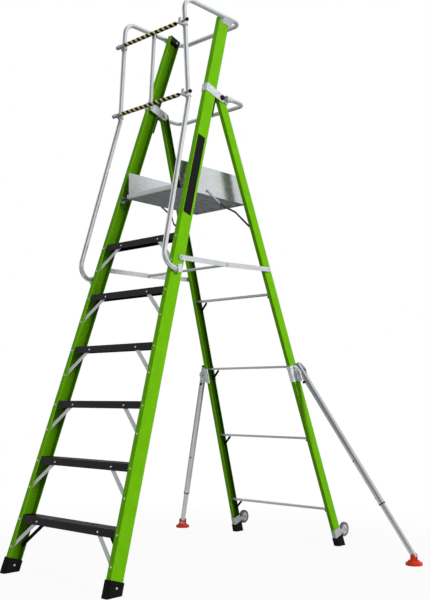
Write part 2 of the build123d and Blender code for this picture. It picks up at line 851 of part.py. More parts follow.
# Spreader pivots on the front rails
link_plane = front_web(spreader_front[1]) + link_standoff
front_link_out = link_plane + side_gap + link_thick
rear_link_in = front_link_out + side_gap
rear_link_out = rear_link_in + link_thick
link_head_in = front_link_out + side_gap
with BuildPart() as spreader_pivots:
    rod_x(link_plane - boss_root, link_plane, *spreader_front, boss_radius)
    split(bisect_by=web_cut(front_plane(spreader_front[1]), 0), keep=Keep.BOTTOM)
    rod_x(link_plane, link_head_in, *spreader_front, link_pin)
    rod_x(link_head_in, link_head_in + link_head_height, *spreader_front, link_head)
    mirror(about=Plane.YZ)
pieces["spreader_pivots"] = spreader_pivots.part

# Spreader links and cross bar
with BuildPart() as spreader_front_links:
    strap(
        Plane.YZ.offset(link_plane + side_gap), spreader_front, spreader_mid, link_width, link_thick
    )
    rod_x(link_plane, front_link_out + side_gap, *spreader_front, link_pin + pin_fit, Mode.SUBTRACT)
    rod_x(front_link_out, rear_link_out + side_gap, *spreader_mid, link_pin)
    rod_x(
        rear_link_out + side_gap, rear_link_out + side_gap + link_head_height, *spreader_mid, link_head
    )
    mirror(about=Plane.YZ)
pieces["spreader_front_links"] = spreader_front_links.part

with BuildPart() as spreader_rear_links:
    strap(Plane.YZ.offset(rear_link_in), spreader_mid, spreader_rear, link_width, link_thick)
    rod_x(rear_link_in, rear_link_out, *spreader_mid, link_pin + pin_fit, Mode.SUBTRACT)
    rod_x(rear_link_out, rear_link_out + link_head_height, *spreader_rear, link_head)
    mirror(about=Plane.YZ)
pieces["spreader_rear_links"] = spreader_rear_links.part

with BuildPart() as spreader_cross_bar:
    rod_x(-link_plane - side_gap, link_plane + side_gap, *spreader_mid, cross_bar_radius)
pieces["spreader_cross_bar"] = spreader_cross_bar.part

# Rear rails
rear_top = hinge_z + rear_above_hinge
with BuildPart() as rear_rail_right:
    with BuildSketch(rear_plane(-rear_boot_height)):
        channel_section(rear_depth, rear_flange)
    extrude(amount=(rear_top + rear_boot_height) * rear_slope)
    split(bisect_by=Plane.XY.offset(boot_sole), keep=Keep.TOP)
    split(bisect_by=Plane.XY.offset(rear_top), keep=Keep.BOTTOM)
    rod_x(
        rear_hinge_web - 2 * rail_wall,
        rear_hinge_web + rail_wall,
        hinge_y,
        hinge_z,
        hinge_pin + pin_fit,
        Mode.SUBTRACT,
    )
pieces["rear_rail_right"] = rear_rail_right.part
pieces["rear_rail_left"] = mirrored(rear_rail_right.part)

# Rear feet
with BuildPart() as rear_feet:
    with BuildSketch(rear_plane(-rear_boot_height)):
        with Locations((-boot_wall, -boot_wall)):
            Rectangle(rear_depth + 2 * boot_wall, rear_flange + 2 * boot_wall, align=(Align.MIN, Align.MIN))
        fillet(vertices(), rail_corner + boot_wall)
    extrude(amount=2 * rear_boot_height * rear_slope)
    add(rear_rail_right.part, mode=Mode.SUBTRACT)
    split(bisect_by=Plane.XY, keep=Keep.TOP)
    mirror(about=Plane.YZ)
pieces["rear_feet"] = rear_feet.part


# Rungs between the rear rails, against the inside of their rear flanges
def rung(z):
    """Open channel that ends inside both rear rails."""
    back = rear_edge(z + rung_height / 2) + (rear_depth - rail_wall - seat) / cos(rear_lean)
    with BuildPart() as bar:
        with BuildSketch(Plane.YZ):
            with Locations((back, z)):
                Rectangle(rung_depth, rung_height, align=(Align.MAX, Align.CENTER))
            with Locations((back - rung_wall, z - rung_wall)):
                Rectangle(
                    rung_depth - 2 * rung_wall,
                    rung_height,
                    align=(Align.MAX, Align.CENTER),
                    mode=Mode.SUBTRACT,
                )
        extrude(amount=rear_half_width, both=True)
        split(bisect_by=web_cut(rear_plane(z), rail_wall + side_gap, 1), keep=Keep.TOP)
        split(bisect_by=web_cut(rear_plane(z), rail_wall + side_gap, -1), keep=Keep.TOP)
    return bar.part


rung_parts = [rung(z) for z in rung_heights]
with BuildPart() as rear_rungs:
    for rung_part in rung_parts:
        add(rung_part)
pieces["rear_rungs"] = rear_rungs.part

# Short braces under the rungs, on the inside of the rear flanges
brace_depth = rear_depth - rail_wall - seat - knee_thick
brace_drop = rung_height / 2 + rung_brace_width / 2 + seat
with BuildPart() as rung_braces:
    for z in rung_heights:
        top_x = rear_web(z) - rear_flange - rung_brace_inset
        foot_x = rear_web(z - rung_brace_drop) - rear_flange / 2
        top_y = -(brace_depth * sin(rear_lean) + brace_drop) / cos(rear_lean)
        foot_y = -(brace_depth * sin(rear_lean) + rung_brace_drop) / cos(rear_lean)
        strap(rear_face(z, brace_depth), (top_x, top_y), (foot_x, foot_y), rung_brace_width, -knee_thick)
    mirror(about=Plane.YZ)
pieces["rung_braces"] = rung_braces.part

# Bosses on the rear rails for the platform straps and the spreader
with BuildPart() as rear_bosses:
    boss_in = strap_foot_x + strap_thick + side_gap
    rod_x(boss_in, rear_web(strap_foot_z), strap_foot_y, strap_foot_z, strap_head)
    split(bisect_by=web_cut(rear_plane(strap_foot_z), rail_wall), keep=Keep.TOP)
    mirror(about=Plane.YZ)
with BuildPart() as spreader_bosses:
    rod_x(rear_web(spreader_rear[1]) - boss_root, rear_link_in - side_gap, *spreader_rear, boss_radius)
    split(bisect_by=web_cut(rear_plane(spreader_rear[1]), 0), keep=Keep.BOTTOM)
    mirror(about=Plane.YZ)
with BuildPart() as rear_pivot_bosses:
    add(rear_bosses.part)
    add(spreader_bosses.part)
pieces["rear_pivot_bosses"] = rear_pivot_bosses.part

# Wheel brackets: a sleeve round each rear rail with two arms and the axle
sleeve_low = rear_boot_height + sleeve_gap
axle_depth = rear_depth + axle_gap + wheel_radius
axle_plane = rear_plane(sleeve_low + axle_above_sleeve)
axle = axle_plane.from_local_coords(Vector(axle_depth, rear_flange / 2, 0))
wheel_x = axle.X
axle_y = axle.Y
axle_z = axle.Z
with BuildPart() as wheel_brackets:
    with BuildSketch(rear_plane(sleeve_low)):
        with Locations((-sleeve_wall, -sleeve_wall)):
            Rectangle(
                rear_depth + 2 * sleeve_wall, rear_flange + 2 * sleeve_wall, align=(Align.MIN, Align.MIN)
            )
        fillet(vertices(), rail_corner + sleeve_wall)
        Rectangle(rear_depth, rear_flange, align=(Align.MIN, Align.MIN), mode=Mode.SUBTRACT)
    extrude(amount=sleeve_height * rear_slope)
    for inner in (-sleeve_wall, rear_flange):
        origin = axle_plane.from_local_coords(Vector(0, inner, 0))
        arm = Plane(origin=origin, x_dir=axle_plane.x_dir, z_dir=axle_plane.y_dir)
        strap(arm, (rear_depth - arm_width, -arm_rise), (axle_depth, 0), arm_width, sleeve_wall)
    rod_x(wheel_x - axle_half, wheel_x + axle_half, axle_y, axle_z, axle_radius)
    add(rear_rail_right.part, mode=Mode.SUBTRACT)
    mirror(about=Plane.YZ)
pieces["wheel_brackets"] = wheel_brackets.part

with BuildPart() as wheel_right:
    rod_x(wheel_x - wheel_width / 2, wheel_x + wheel_width / 2, axle_y, axle_z, wheel_radius)
    fillet(edges().filter_by(GeomType.CIRCLE), wheel_round)
    for side in (-1, 1):
        rod_x(
            wheel_x + side * wheel_width / 2,
            wheel_x + side * (wheel_width / 2 - hub_recess),
            axle_y,
            axle_z,
            wheel_radius - tyre_depth,
            Mode.SUBTRACT,
        )
    rod_x(wheel_x - wheel_width, wheel_x + wheel_width, axle_y, axle_z, axle_radius + pin_fit, Mode.SUBTRACT)
pieces["wheel_right"] = wheel_right.part
pieces["wheel_left"] = mirrored(wheel_right.part)

# Outrigger directions: stowed along the rear rail, swung out towards the aim
rail_down = Vector(rear_taper, tan(rear_lean), -1).normalized()
swing_axis = rail_down.cross(outrigger_aim).normalized()
swing_side = swing_axis.cross(rail_down)
pivot_plane = rear_plane(outrigger_z)
swing_pivot = pivot_plane.from_local_coords(Vector(outrigger_depth, 0, 0)) + swing_side * outrigger_offset
leg_radius = outer_radius - outer_wall - side_gap
foot_half = leg_radius + foot_slack
ear_in = outer_radius + ear_gap
ear_out = ear_in + bracket_ear


def outrigger_direction(angle):
    return rail_down * cos(angle) + swing_side * sin(angle)


def outrigger_reach(angle):
    return (swing_pivot.Z - foot_pin_z) / -outrigger_direction(angle).Z


# Brackets clamped on the rear rails, with two ears for each outrigger tube
with BuildPart() as outrigger_brackets:
    with BuildSketch(rear_plane(outrigger_z)):
        with Locations((-bracket_wall, -bracket_wall)):
            Rectangle(rear_depth + 2 * bracket_wall, rear_flange + bracket_wall, align=(Align.MIN, Align.MIN))
        fillet(vertices().group_by(Axis.Y)[0], rail_corner + bracket_wall)
    extrude(amount=bracket_half, both=True)
    for offset in (-ear_out, ear_in):
        ear = Plane(origin=swing_pivot + swing_axis * offset, x_dir=swing_side, z_dir=swing_axis)
        with BuildSketch(ear):
            with BuildLine():
                Polyline(
                    (-outrigger_offset - ear_root, -bracket_half),
                    (ear_reach - ear_chamfer, -bracket_half),
                    (ear_reach, ear_chamfer - bracket_half),
                    (ear_reach, ear_chamfer),
                    (ear_shoulder - outrigger_offset, bracket_half),
                    (-outrigger_offset - ear_root, bracket_half),
                    close=True,
                )
            make_face()
        extrude(amount=bracket_ear)
    hole_start = swing_pivot - swing_axis * 2 * ear_out
    rod_along(hole_start, swing_axis, 4 * ear_out, outrigger_pin + pin_fit, Mode.SUBTRACT)
    with BuildSketch(rear_plane(outrigger_z)):
        Rectangle(rear_depth, rear_flange, align=(Align.MIN, Align.MIN))
    extrude(amount=2 * bracket_half, both=True, mode=Mode.SUBTRACT)
    mirror(about=Plane.YZ)
pieces["outrigger_brackets"] = outrigger_brackets.part

with BuildPart() as outrigger_pivot_bolts:
    pin_start = swing_pivot - swing_axis * (ear_out + pin_head_height)
    rod_along(pin_start, swing_axis, 2 * (ear_out + pin_head_height), outrigger_pin)
    rod_along(pin_start, swing_axis, pin_head_height, pin_head_radius)
    rod_along(swing_pivot + swing_axis * ear_out, swing_axis, pin_head_height, pin_head_radius)
    mirror(about=Plane.YZ)
pieces["outrigger_pivot_bolts"] = outrigger_pivot_bolts.part


# Outrigger pieces, drawn on the right-hand side for a given swing
def outrigger_tube(angle):
    run = outrigger_direction(angle)
    with BuildPart() as tube:
        rod_along(swing_pivot - run * outer_above, run, outer_above + outer_below, outer_radius)
        rod_along(
            swing_pivot - run * 2 * outer_above,
            run,
            3 * outer_above + outer_below,
            outer_radius - outer_wall,
            Mode.SUBTRACT,
        )
        hole_start = swing_pivot - swing_axis * ear_out
        rod_along(hole_start, swing_axis, 2 * ear_out, outrigger_pin + pin_fit, Mode.SUBTRACT)
        for drop in adjust_holes:
            rod_along(swing_pivot + run * drop, swing_axis, ear_out, adjust_radius, Mode.SUBTRACT)
        rod_along(swing_pivot + run * button_drop, swing_axis, ear_out, button_stem + side_gap, Mode.SUBTRACT)
    return tube.part


def outrigger_button(angle):
    middle = swing_pivot + outrigger_direction(angle) * button_drop
    head_start = outer_radius + button_travel + button_gap
    with BuildPart() as button:
        rod_along(middle + swing_axis * button_root, swing_axis, head_start - button_root, button_stem)
        rod_along(middle + swing_axis * head_start, swing_axis, button_head, button_radius)
    return button.part


def outrigger_leg(angle):
    run = outrigger_direction(angle)
    pin = swing_pivot + run * outrigger_reach(angle)
    hinge = Vector(0, 0, 1).cross(run).normalized()
    bore_end = pin - run * leg_plug
    with BuildPart() as leg:
        rod_along(pin + run * (leg_end - leg_length), run, leg_length, leg_radius)
        rod_along(bore_end - run * leg_length, run, leg_length, leg_radius - leg_wall, Mode.SUBTRACT)
        rod_along(pin - hinge * ear_out, hinge, 2 * ear_out, foot_pin + pin_fit, Mode.SUBTRACT)
    return leg.part


def outrigger_foot(angle):
    run = outrigger_direction(angle)
    pin = swing_pivot + run * outrigger_reach(angle)
    hinge = Vector(0, 0, 1).cross(run).normalized()
    across = hinge.cross(Vector(0, 0, 1))
    with BuildPart() as foot:
        rod_along(Vector(pin.X, pin.Y, 0), Vector(0, 0, 1), foot_base, foot_radius)
        with BuildSketch(Plane(origin=(pin.X, pin.Y, foot_base))):
            Circle(foot_radius - foot_rim)
        extrude(amount=foot_neck - foot_base, taper=40)
        for offset in (-foot_half - foot_ear, foot_half):
            with BuildSketch(Plane(origin=pin + hinge * offset, x_dir=across, z_dir=hinge)):
                Circle(foot_ear_radius)
            extrude(amount=foot_ear)
            side = pin + hinge * (offset + foot_ear / 2)
            with BuildSketch(Plane(origin=(side.X, side.Y, foot_base), x_dir=hinge)):
                Rectangle(foot_ear, 2 * foot_ear_radius)
            extrude(amount=foot_pin_z - foot_base)
        pin_half = foot_half + foot_ear + foot_pin_end
        rod_along(pin - hinge * pin_half, hinge, 2 * pin_half, foot_pin)
    return foot.part


for part_name, make in (
    ("outrigger_tube", outrigger_tube),
    ("outrigger_button", outrigger_button),
    ("outrigger_leg", outrigger_leg),
    ("outrigger_foot", outrigger_foot),
):
    pieces[f"{part_name}_right"] = make(right_swing)
    pieces[f"{part_name}_left"] = mirrored(make(left_swing))

# One frame for every file: middle of the footprint, on the ground
right_foot = swing_pivot + outrigger_direction(right_swing) * outrigger_reach(right_swing)
left_foot = swing_pivot + outrigger_direction(left_swing) * outrigger_reach(left_swing)
centre_x = (right_foot.X - left_foot.X) / 2
centre_y = (axle_y + wheel_radius + front_foot_y - boot_wall / cos(front_lean)) / 2
os.makedirs("parts", exist_ok=True)
for part_name, piece in pieces.items():
    placed = piece.moved(Location((-centre_x, -centre_y, 0)))
    placed.label = part_name
    export_step(placed, f"parts/{part_name}.step")
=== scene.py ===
import json
import math

import bmesh
import bpy
from bpy.props import FloatProperty, FloatVectorProperty, PointerProperty
from mathutils import Matrix, Vector


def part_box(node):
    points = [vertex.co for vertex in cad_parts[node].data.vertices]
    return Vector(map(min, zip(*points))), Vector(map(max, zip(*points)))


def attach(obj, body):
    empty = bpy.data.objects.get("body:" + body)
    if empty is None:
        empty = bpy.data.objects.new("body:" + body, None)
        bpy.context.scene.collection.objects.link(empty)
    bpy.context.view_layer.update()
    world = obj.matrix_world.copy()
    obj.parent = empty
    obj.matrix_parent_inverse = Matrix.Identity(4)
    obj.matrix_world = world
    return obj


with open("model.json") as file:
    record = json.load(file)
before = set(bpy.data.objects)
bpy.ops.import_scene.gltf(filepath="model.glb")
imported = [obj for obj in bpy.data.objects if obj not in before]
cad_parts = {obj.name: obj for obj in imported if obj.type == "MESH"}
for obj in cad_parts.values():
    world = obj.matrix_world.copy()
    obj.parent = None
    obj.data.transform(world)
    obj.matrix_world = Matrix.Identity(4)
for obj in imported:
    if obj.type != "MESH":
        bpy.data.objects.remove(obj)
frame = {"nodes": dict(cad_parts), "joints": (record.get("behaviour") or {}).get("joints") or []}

bl_info = {
    "name": "Platform Stepladder",
    "version": (1, 0, 0),
    "blender": (4, 5, 0),
    "location": "3D View > Sidebar > Stepladder",
    "description": "Finishes and small fittings for a folding platform stepladder",
    "category": "Object",
}

NODES = frame["nodes"]
JOINTS = {joint["name"]: joint for joint in frame["joints"]}
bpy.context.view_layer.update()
MM = 0.001

# The ladder's own axes, found from the hinge joint: its middle plane and the line of its front feet
HINGE_X, HINGE_Y, HINGE_Z = JOINTS["rear_fold"]["pos_m"]
HINGE_BEHIND_FEET = 974.97 * MM
MID_X = HINGE_X
BASE_Y = HINGE_Y - HINGE_BEHIND_FEET

# Rails as the solids have them: half is the outer web's distance from the middle at the floor
FRONT_LEAN = math.radians(17.35)
REAR_LEAN = math.radians(18.77)
FRONT_TAPER = 0.063
REAR_TAPER = 0.067
FRONT_HALF = 432 * MM
REAR_HALF = 434 * MM
FRONT_FOOT = -3 * MM
REAR_FOOT = 1868 * MM
FRONT_DEPTH = 82 * MM
REAR_DEPTH = 60 * MM
FRONT_FLANGE = 33 * MM
REAR_FLANGE = 26 * MM
RAIL_WALL = 4 * MM
RAIL_TOP = 3226 * MM
BOOT_WALL = 7 * MM

# Places on the outriggers, measured along the tube from its pivot, and on other solids
TUBE_TOP = 56 * MM
TUBE_END = 900 * MM
FIRST_HOLE = 620 * MM
STRAP_BEND_Y = BASE_Y + 1010 * MM
HUB_RADIUS = 29 * MM

# Fittings that are drawn here only; profiles are radius and height, panel rings depth and share of its width
RIVET_HEIGHT = 2.4 * MM
CAP_RIVET_BACK = 58 * MM
CAP_RIVET_DROP = 16 * MM
FOOT_RIVET_HEIGHT = 52 * MM
KNOB_SEAT_GAP = 1 * MM
SPRING_PIN_SEAT = 18.8 * MM
SPRING_PIN_RADIUS = 5 * MM
SPRING_PIN_HEIGHT = 3 * MM
BUFFER_SIZE = (16 * MM, 18 * MM, 104 * MM)
BUFFER_DROP = 45 * MM
PANEL_FORWARD = 7 * MM
PANEL_CORNER = 5 * MM
CORNER_STEPS = 5
PANEL_RINGS = ((0, 1.0), (-0.5 * MM, 1.0), (-0.8 * MM, 0.99))
PLUG_PROFILE = (
    (15 * MM, -14 * MM),
    (15.5 * MM, -12 * MM),
    (15.5 * MM, 0),
    (18.6 * MM, 0.2 * MM),
    (18.6 * MM, 2.5 * MM),
    (17 * MM, 4 * MM),
    (6 * MM, 4.6 * MM),
)
BUSH_PROFILE = ((16.7 * MM, 0), (16.7 * MM, 6 * MM), (20.4 * MM, 6 * MM), (20.4 * MM, 0))
TUBE_STEPS = 32

# Camera fitted to the photo: focal length in its pixels, place from the ladder's own axes, angles in degrees
PHOTO_HEIGHT = 600.0
FOCAL_LENGTH = 840.68
SENSOR = 36.0
CAMERA_PLACE = (MID_X + 3.5028, BASE_Y - 2.6130, 0.93085)
CAMERA_PITCH = 6.5
CAMERA_YAW = 42.55

# The floor changes from its near to its far look between these distances from the middle
FLOOR_NEAR = 1.2
FLOOR_FAR = 2.6

# Sockets of the Mix node, which share their names
FACTOR = 0
FLOAT_A, FLOAT_B = 2, 3
COLOUR_A, COLOUR_B = 6, 7
COLOUR_RESULT = 2

# Turns that lay a grain along Z onto the rails, along X and along Y
ALONG_FRONT = (-FRONT_LEAN, 0, 0)
ALONG_REAR = (REAR_LEAN, 0, 0)
ALONG_X = (0, math.pi / 2, 0)
ALONG_Y = (math.pi / 2, 0, 0)


def linear(code):
    """Linear colour from an sRGB hex value."""
    parts = [int(code[i : i + 2], 16) / 255 for i in (1, 3, 5)]
    return tuple(c / 12.92 if c <= 0.04045 else ((c + 0.055) / 1.055) ** 2.4 for c in parts)


def shade(colour, factor):
    """Darker or lighter version of a linear colour."""
    return tuple(min(1.0, c * factor) for c in colour)


def node(tree, kind, settings=None, inputs=None):
    """Add one shader node, set its options, and fill or link its inputs."""
    made = tree.nodes.new(kind)
    for key, value in (settings or {}).items():
        setattr(made, key, value)
    for key, value in (inputs or {}).items():
        socket = made.inputs[key]
        if isinstance(value, bpy.types.NodeSocket):
            tree.links.new(value, socket)
        elif socket.type == "RGBA" and len(value) == 3:
            socket.default_value = (*value, 1)
        else:
            socket.default_value = value
    return made


def blank_material(name):
    """Empty node material and its tree."""
    material = bpy.data.materials.new(name)
    material.use_nodes = True
    material.node_tree.nodes.clear()
    return material, material.node_tree


def aside_from_middle(tree, axes):
    """Distance of the shaded point from the ladder's middle plane."""
    across = node(tree, "ShaderNodeMath", {"operation": "SUBTRACT"}, {0: axes.outputs["X"], 1: MID_X})
    return node(tree, "ShaderNodeMath", {"operation": "ABSOLUTE"}, {0: across.outputs[0]}).outputs[0]


def seen_rays(tree):
    """Light path node, and the share of rays that reach the eye straight, by mirroring or through glass."""
    path = node(tree, "ShaderNodeLightPath")
    mirrored = node(
        tree,
        "ShaderNodeMath",
        {"operation": "MAXIMUM"},
        {0: path.outputs["Is Glossy Ray"], 1: path.outputs["Is Transmission Ray"]},
    )
    seen = node(
        tree,
        "ShaderNodeMath",
        {"operation": "MAXIMUM"},
        {0: path.outputs["Is Camera Ray"], 1: mirrored.outputs[0]},
    )
    return path, seen.outputs[0]


def close_material(tree, sockets):
    """Add the shader with its sockets, and the output."""
    shader = node(tree, "ShaderNodeBsdfPrincipled", None, sockets)
    node(tree, "ShaderNodeOutputMaterial", None, {"Surface": shader.outputs["BSDF"]})


def drawn_finish(name, base, tint, line, length, turn, rough, depth, sockets=None, dark=None):
    """Finish with lines along its length: line and length are the size of a streak, in metres.

    A dark function returns the socket with the share that gets painted shade, and how far it is darkened.
    """
    material, tree = blank_material(name)
    coords = node(tree, "ShaderNodeTexCoord").outputs["Object"]
    laid = node(
        tree,
        "ShaderNodeMapping",
        {"vector_type": "TEXTURE"},
        {"Vector": coords, "Rotation": turn, "Scale": (line, line, length)},
    )
    streak = node(
        tree,
        "ShaderNodeTexNoise",
        None,
        {"Vector": laid.outputs["Vector"], "Scale": 1.0, "Detail": 3.0, "Roughness": 0.6},
    )
    # Soft clouds in the tone, about 60 mm across
    cloud = node(tree, "ShaderNodeTexNoise", None, {"Vector": coords, "Scale": 1 / (60 * MM), "Detail": 4.0})
    cloud_share = node(
        tree,
        "ShaderNodeMapRange",
        None,
        {
            "Value": cloud.outputs["Fac"],
            "From Min": 0.32,
            "From Max": 0.68,
            "To Min": 0.0,
            "To Max": 1.0,
        },
    )
    streak_share = node(
        tree,
        "ShaderNodeMapRange",
        None,
        {
            "Value": streak.outputs["Fac"],
            "From Min": 0.35,
            "From Max": 0.75,
            "To Min": 0.0,
            "To Max": 0.45,
        },
    )
    body = node(
        tree,
        "ShaderNodeMix",
        {"data_type": "RGBA"},
        {FACTOR: cloud_share.outputs[0], COLOUR_A: base, COLOUR_B: shade(base, 0.9)},
    )
    lined = node(
        tree,
        "ShaderNodeMix",
        {"data_type": "RGBA"},
        {FACTOR: streak_share.outputs[0], COLOUR_A: body.outputs[COLOUR_RESULT], COLOUR_B: tint},
    )
    gloss = node(
        tree,
        "ShaderNodeMapRange",
        None,
        {
            "Value": streak.outputs["Fac"],
            "From Min": 0.3,
            "From Max": 0.7,
            "To Min": rough - 0.06,
            "To Max": rough + 0.08,
        },
    )
    relief = node(
        tree, "ShaderNodeBump", None, {"Height": streak.outputs["Fac"], "Distance": depth, "Strength": 0.5}
    )
    body_colour = lined.outputs[COLOUR_RESULT]
    # Painted shade: the share picked by the dark function is multiplied darker.
    if dark:
        share, factor = dark(tree, coords)
        painted_shade_mix = node(
            tree,
            "ShaderNodeMix",
            {"data_type": "RGBA", "blend_type": "MULTIPLY"},
            {FACTOR: share, COLOUR_A: body_colour, COLOUR_B: (factor, factor, factor)},
        )
        body_colour = painted_shade_mix.outputs[COLOUR_RESULT]
    wired = {
        "Base Color": body_colour,
        "Roughness": gloss.outputs[0],
        "Normal": relief.outputs["Normal"],
    }
    close_material(tree, {**wired, **(sockets or {})})
    return material


def grained_finish(name, base, tint, grain, patch, rough, depth, sockets=None):
    """Finish with an even grain and patches of another tone, both sizes in metres."""
    material, tree = blank_material(name)
    coords = node(tree, "ShaderNodeTexCoord").outputs["Object"]
    skin = node(tree, "ShaderNodeTexNoise", None, {"Vector": coords, "Scale": 1 / grain, "Detail": 2.0})
    cloud = node(tree, "ShaderNodeTexNoise", None, {"Vector": coords, "Scale": 1 / patch, "Detail": 4.0})
    share = node(
        tree,
        "ShaderNodeMapRange",
        None,
        {
            "Value": cloud.outputs["Fac"],
            "From Min": 0.38,
            "From Max": 0.74,
            "To Min": 0.0,
            "To Max": 0.8,
        },
    )
    body = node(
        tree,
        "ShaderNodeMix",
        {"data_type": "RGBA"},
        {FACTOR: share.outputs[0], COLOUR_A: base, COLOUR_B: tint},
    )
    gloss = node(
        tree,
        "ShaderNodeMapRange",
        None,
        {
            "Value": cloud.outputs["Fac"],
            "From Min": 0.3,
            "From Max": 0.7,
            "To Min": rough - 0.06,
            "To Max": rough + 0.08,
        },
    )
    relief = node(
        tree, "ShaderNodeBump", None, {"Height": skin.outputs["Fac"], "Distance": depth, "Strength": 0.5}
    )
    wired = {
        "Base Color": body.outputs[COLOUR_RESULT],
        "Roughness": gloss.outputs[0],
        "Normal": relief.outputs["Normal"],
    }
    close_material(tree, {**wired, **(sockets or {})})
    return material


def pultruded_fibreglass(name, turn, channel_shade, half, taper, foot, slope, depth, flange):
    """Glass-fibre polyester, pultruded: pigmented through, lengthwise rovings, satin skin, with painted shade inside
    the channel.
    """

    def inside(tree, coords):
        """Share inside the channel that gets painted shade, from the distances to its outer web and to its front
        face.
        """
        axes = node(tree, "ShaderNodeSeparateXYZ", None, {"Vector": coords})
        aside = aside_from_middle(tree, axes)
        web = node(tree, "ShaderNodeMath", {"operation": "MULTIPLY_ADD"}, {0: axes.outputs["Z"], 1: -taper, 2: half})
        inward = node(tree, "ShaderNodeMath", {"operation": "SUBTRACT"}, {0: web.outputs[0], 1: aside})
        front = node(
            tree, "ShaderNodeMath", {"operation": "MULTIPLY_ADD"}, {0: axes.outputs["Z"], 1: slope, 2: BASE_Y + foot}
        )
        back = node(tree, "ShaderNodeMath", {"operation": "SUBTRACT"}, {0: axes.outputs["Y"], 1: front.outputs[0]})
        margin = 0.5 * MM
        reach = depth * math.hypot(1, slope)
        wall = RAIL_WALL * math.hypot(1, slope) - margin
        # The web leans, so its inner face is 2.7 to 5.5 mm in from the plane through its front edge
        near, tip = 2.1 * MM, flange - margin
        in_width = node(
            tree,
            "ShaderNodeMath",
            {"operation": "COMPARE"},
            {0: inward.outputs[0], 1: (near + tip) / 2, 2: (tip - near) / 2},
        )
        in_depth = node(
            tree, "ShaderNodeMath", {"operation": "COMPARE"}, {0: back.outputs[0], 1: reach / 2, 2: reach / 2 - wall}
        )
        share = node(
            tree, "ShaderNodeMath", {"operation": "MULTIPLY"}, {0: in_width.outputs[0], 1: in_depth.outputs[0]}
        )
        return share.outputs[0], channel_shade

    green = tuple(colours().rail_green)
    # Rovings are about 1 mm wide; drawn 6 mm wide, so that they show at this size
    return drawn_finish(
        name,
        green,
        shade(green, 0.66),
        line=6 * MM,
        length=240 * MM,
        turn=turn,
        rough=0.5,
        depth=0.25 * MM,
        sockets={"IOR": 1.52, "Specular IOR Level": 0.05},
        dark=inside,
    )


def powder_coat(name):
    """Extruded aluminium, powder coated black: fine orange peel, dusty grey patches."""
    # Peel of about 0.5 mm; drawn at 3 mm, so that it shows
    black = tuple(colours().step_black)
    return grained_finish(
        name,
        black,
        linear("#262627"),
        grain=3 * MM,
        patch=70 * MM,
        rough=0.5,
        depth=0.2 * MM,
        sockets={"Specular IOR Level": 0.15},
    )


def mill_aluminium(name, turn, tone, rough, metal=0.35, dark=None):
    """Extruded or rolled aluminium, mill finish: die lines along the length, a duller or brighter silver, and painted
    shade where a dark function is given.
    """
    # Die lines are well under 1 mm apart; drawn 2.5 mm apart, so that they show
    silver = shade(tuple(colours().silver), tone)
    return drawn_finish(
        name,
        silver,
        shade(silver, 0.72),
        line=2.5 * MM,
        length=160 * MM,
        turn=turn,
        rough=rough,
        depth=0.03 * MM,
        sockets={"Metallic": metal},
        dark=dark,
    )


def cast_aluminium(name, tone):
    """Die-cast aluminium: matt grainy skin with darker clouds."""
    # Casting grain of about 1 mm; drawn at 2.5 mm
    grey = shade(tuple(colours().cast_grey), tone)
    return grained_finish(
        name,
        grey,
        shade(grey, 0.7),
        grain=2.5 * MM,
        patch=24 * MM,
        rough=0.52,
        depth=0.3 * MM,
        sockets={"Metallic": 0.25},
    )


def zinc_plate(name, code):
    """Zinc-plated steel: bluish grey with a fine spangle."""
    zinc = linear(code)
    return grained_finish(
        name,
        zinc,
        shade(zinc, 0.7),
        grain=1.5 * MM,
        patch=8 * MM,
        rough=0.36,
        depth=0.05 * MM,
        sockets={"Metallic": 0.8},
    )


def moulded_plastic(name, colour, rough=0.45):
    """Injection-moulded plastic: spark-eroded texture, slight changes of gloss."""
    # Spark texture of about 0.3 mm; drawn at 2 mm
    return grained_finish(
        name,
        colour,
        shade(colour, 1.5),
        grain=2 * MM,
        patch=28 * MM,
        rough=rough,
        depth=0.1 * MM,
        sockets={"IOR": 1.5, "Specular IOR Level": 0.15},
    )


def moulded_rubber(name):
    """Moulded rubber: matt black, greyed by dust."""
    # Grain of about 1 mm; drawn at 2.5 mm
    black = tuple(colours().rubber_black)
    return grained_finish(
        name,
        black,
        linear("#201F1F"),
        grain=2.5 * MM,
        patch=36 * MM,
        rough=0.74,
        depth=0.3 * MM,
        sockets={"Specular IOR Level": 0.08},
    )


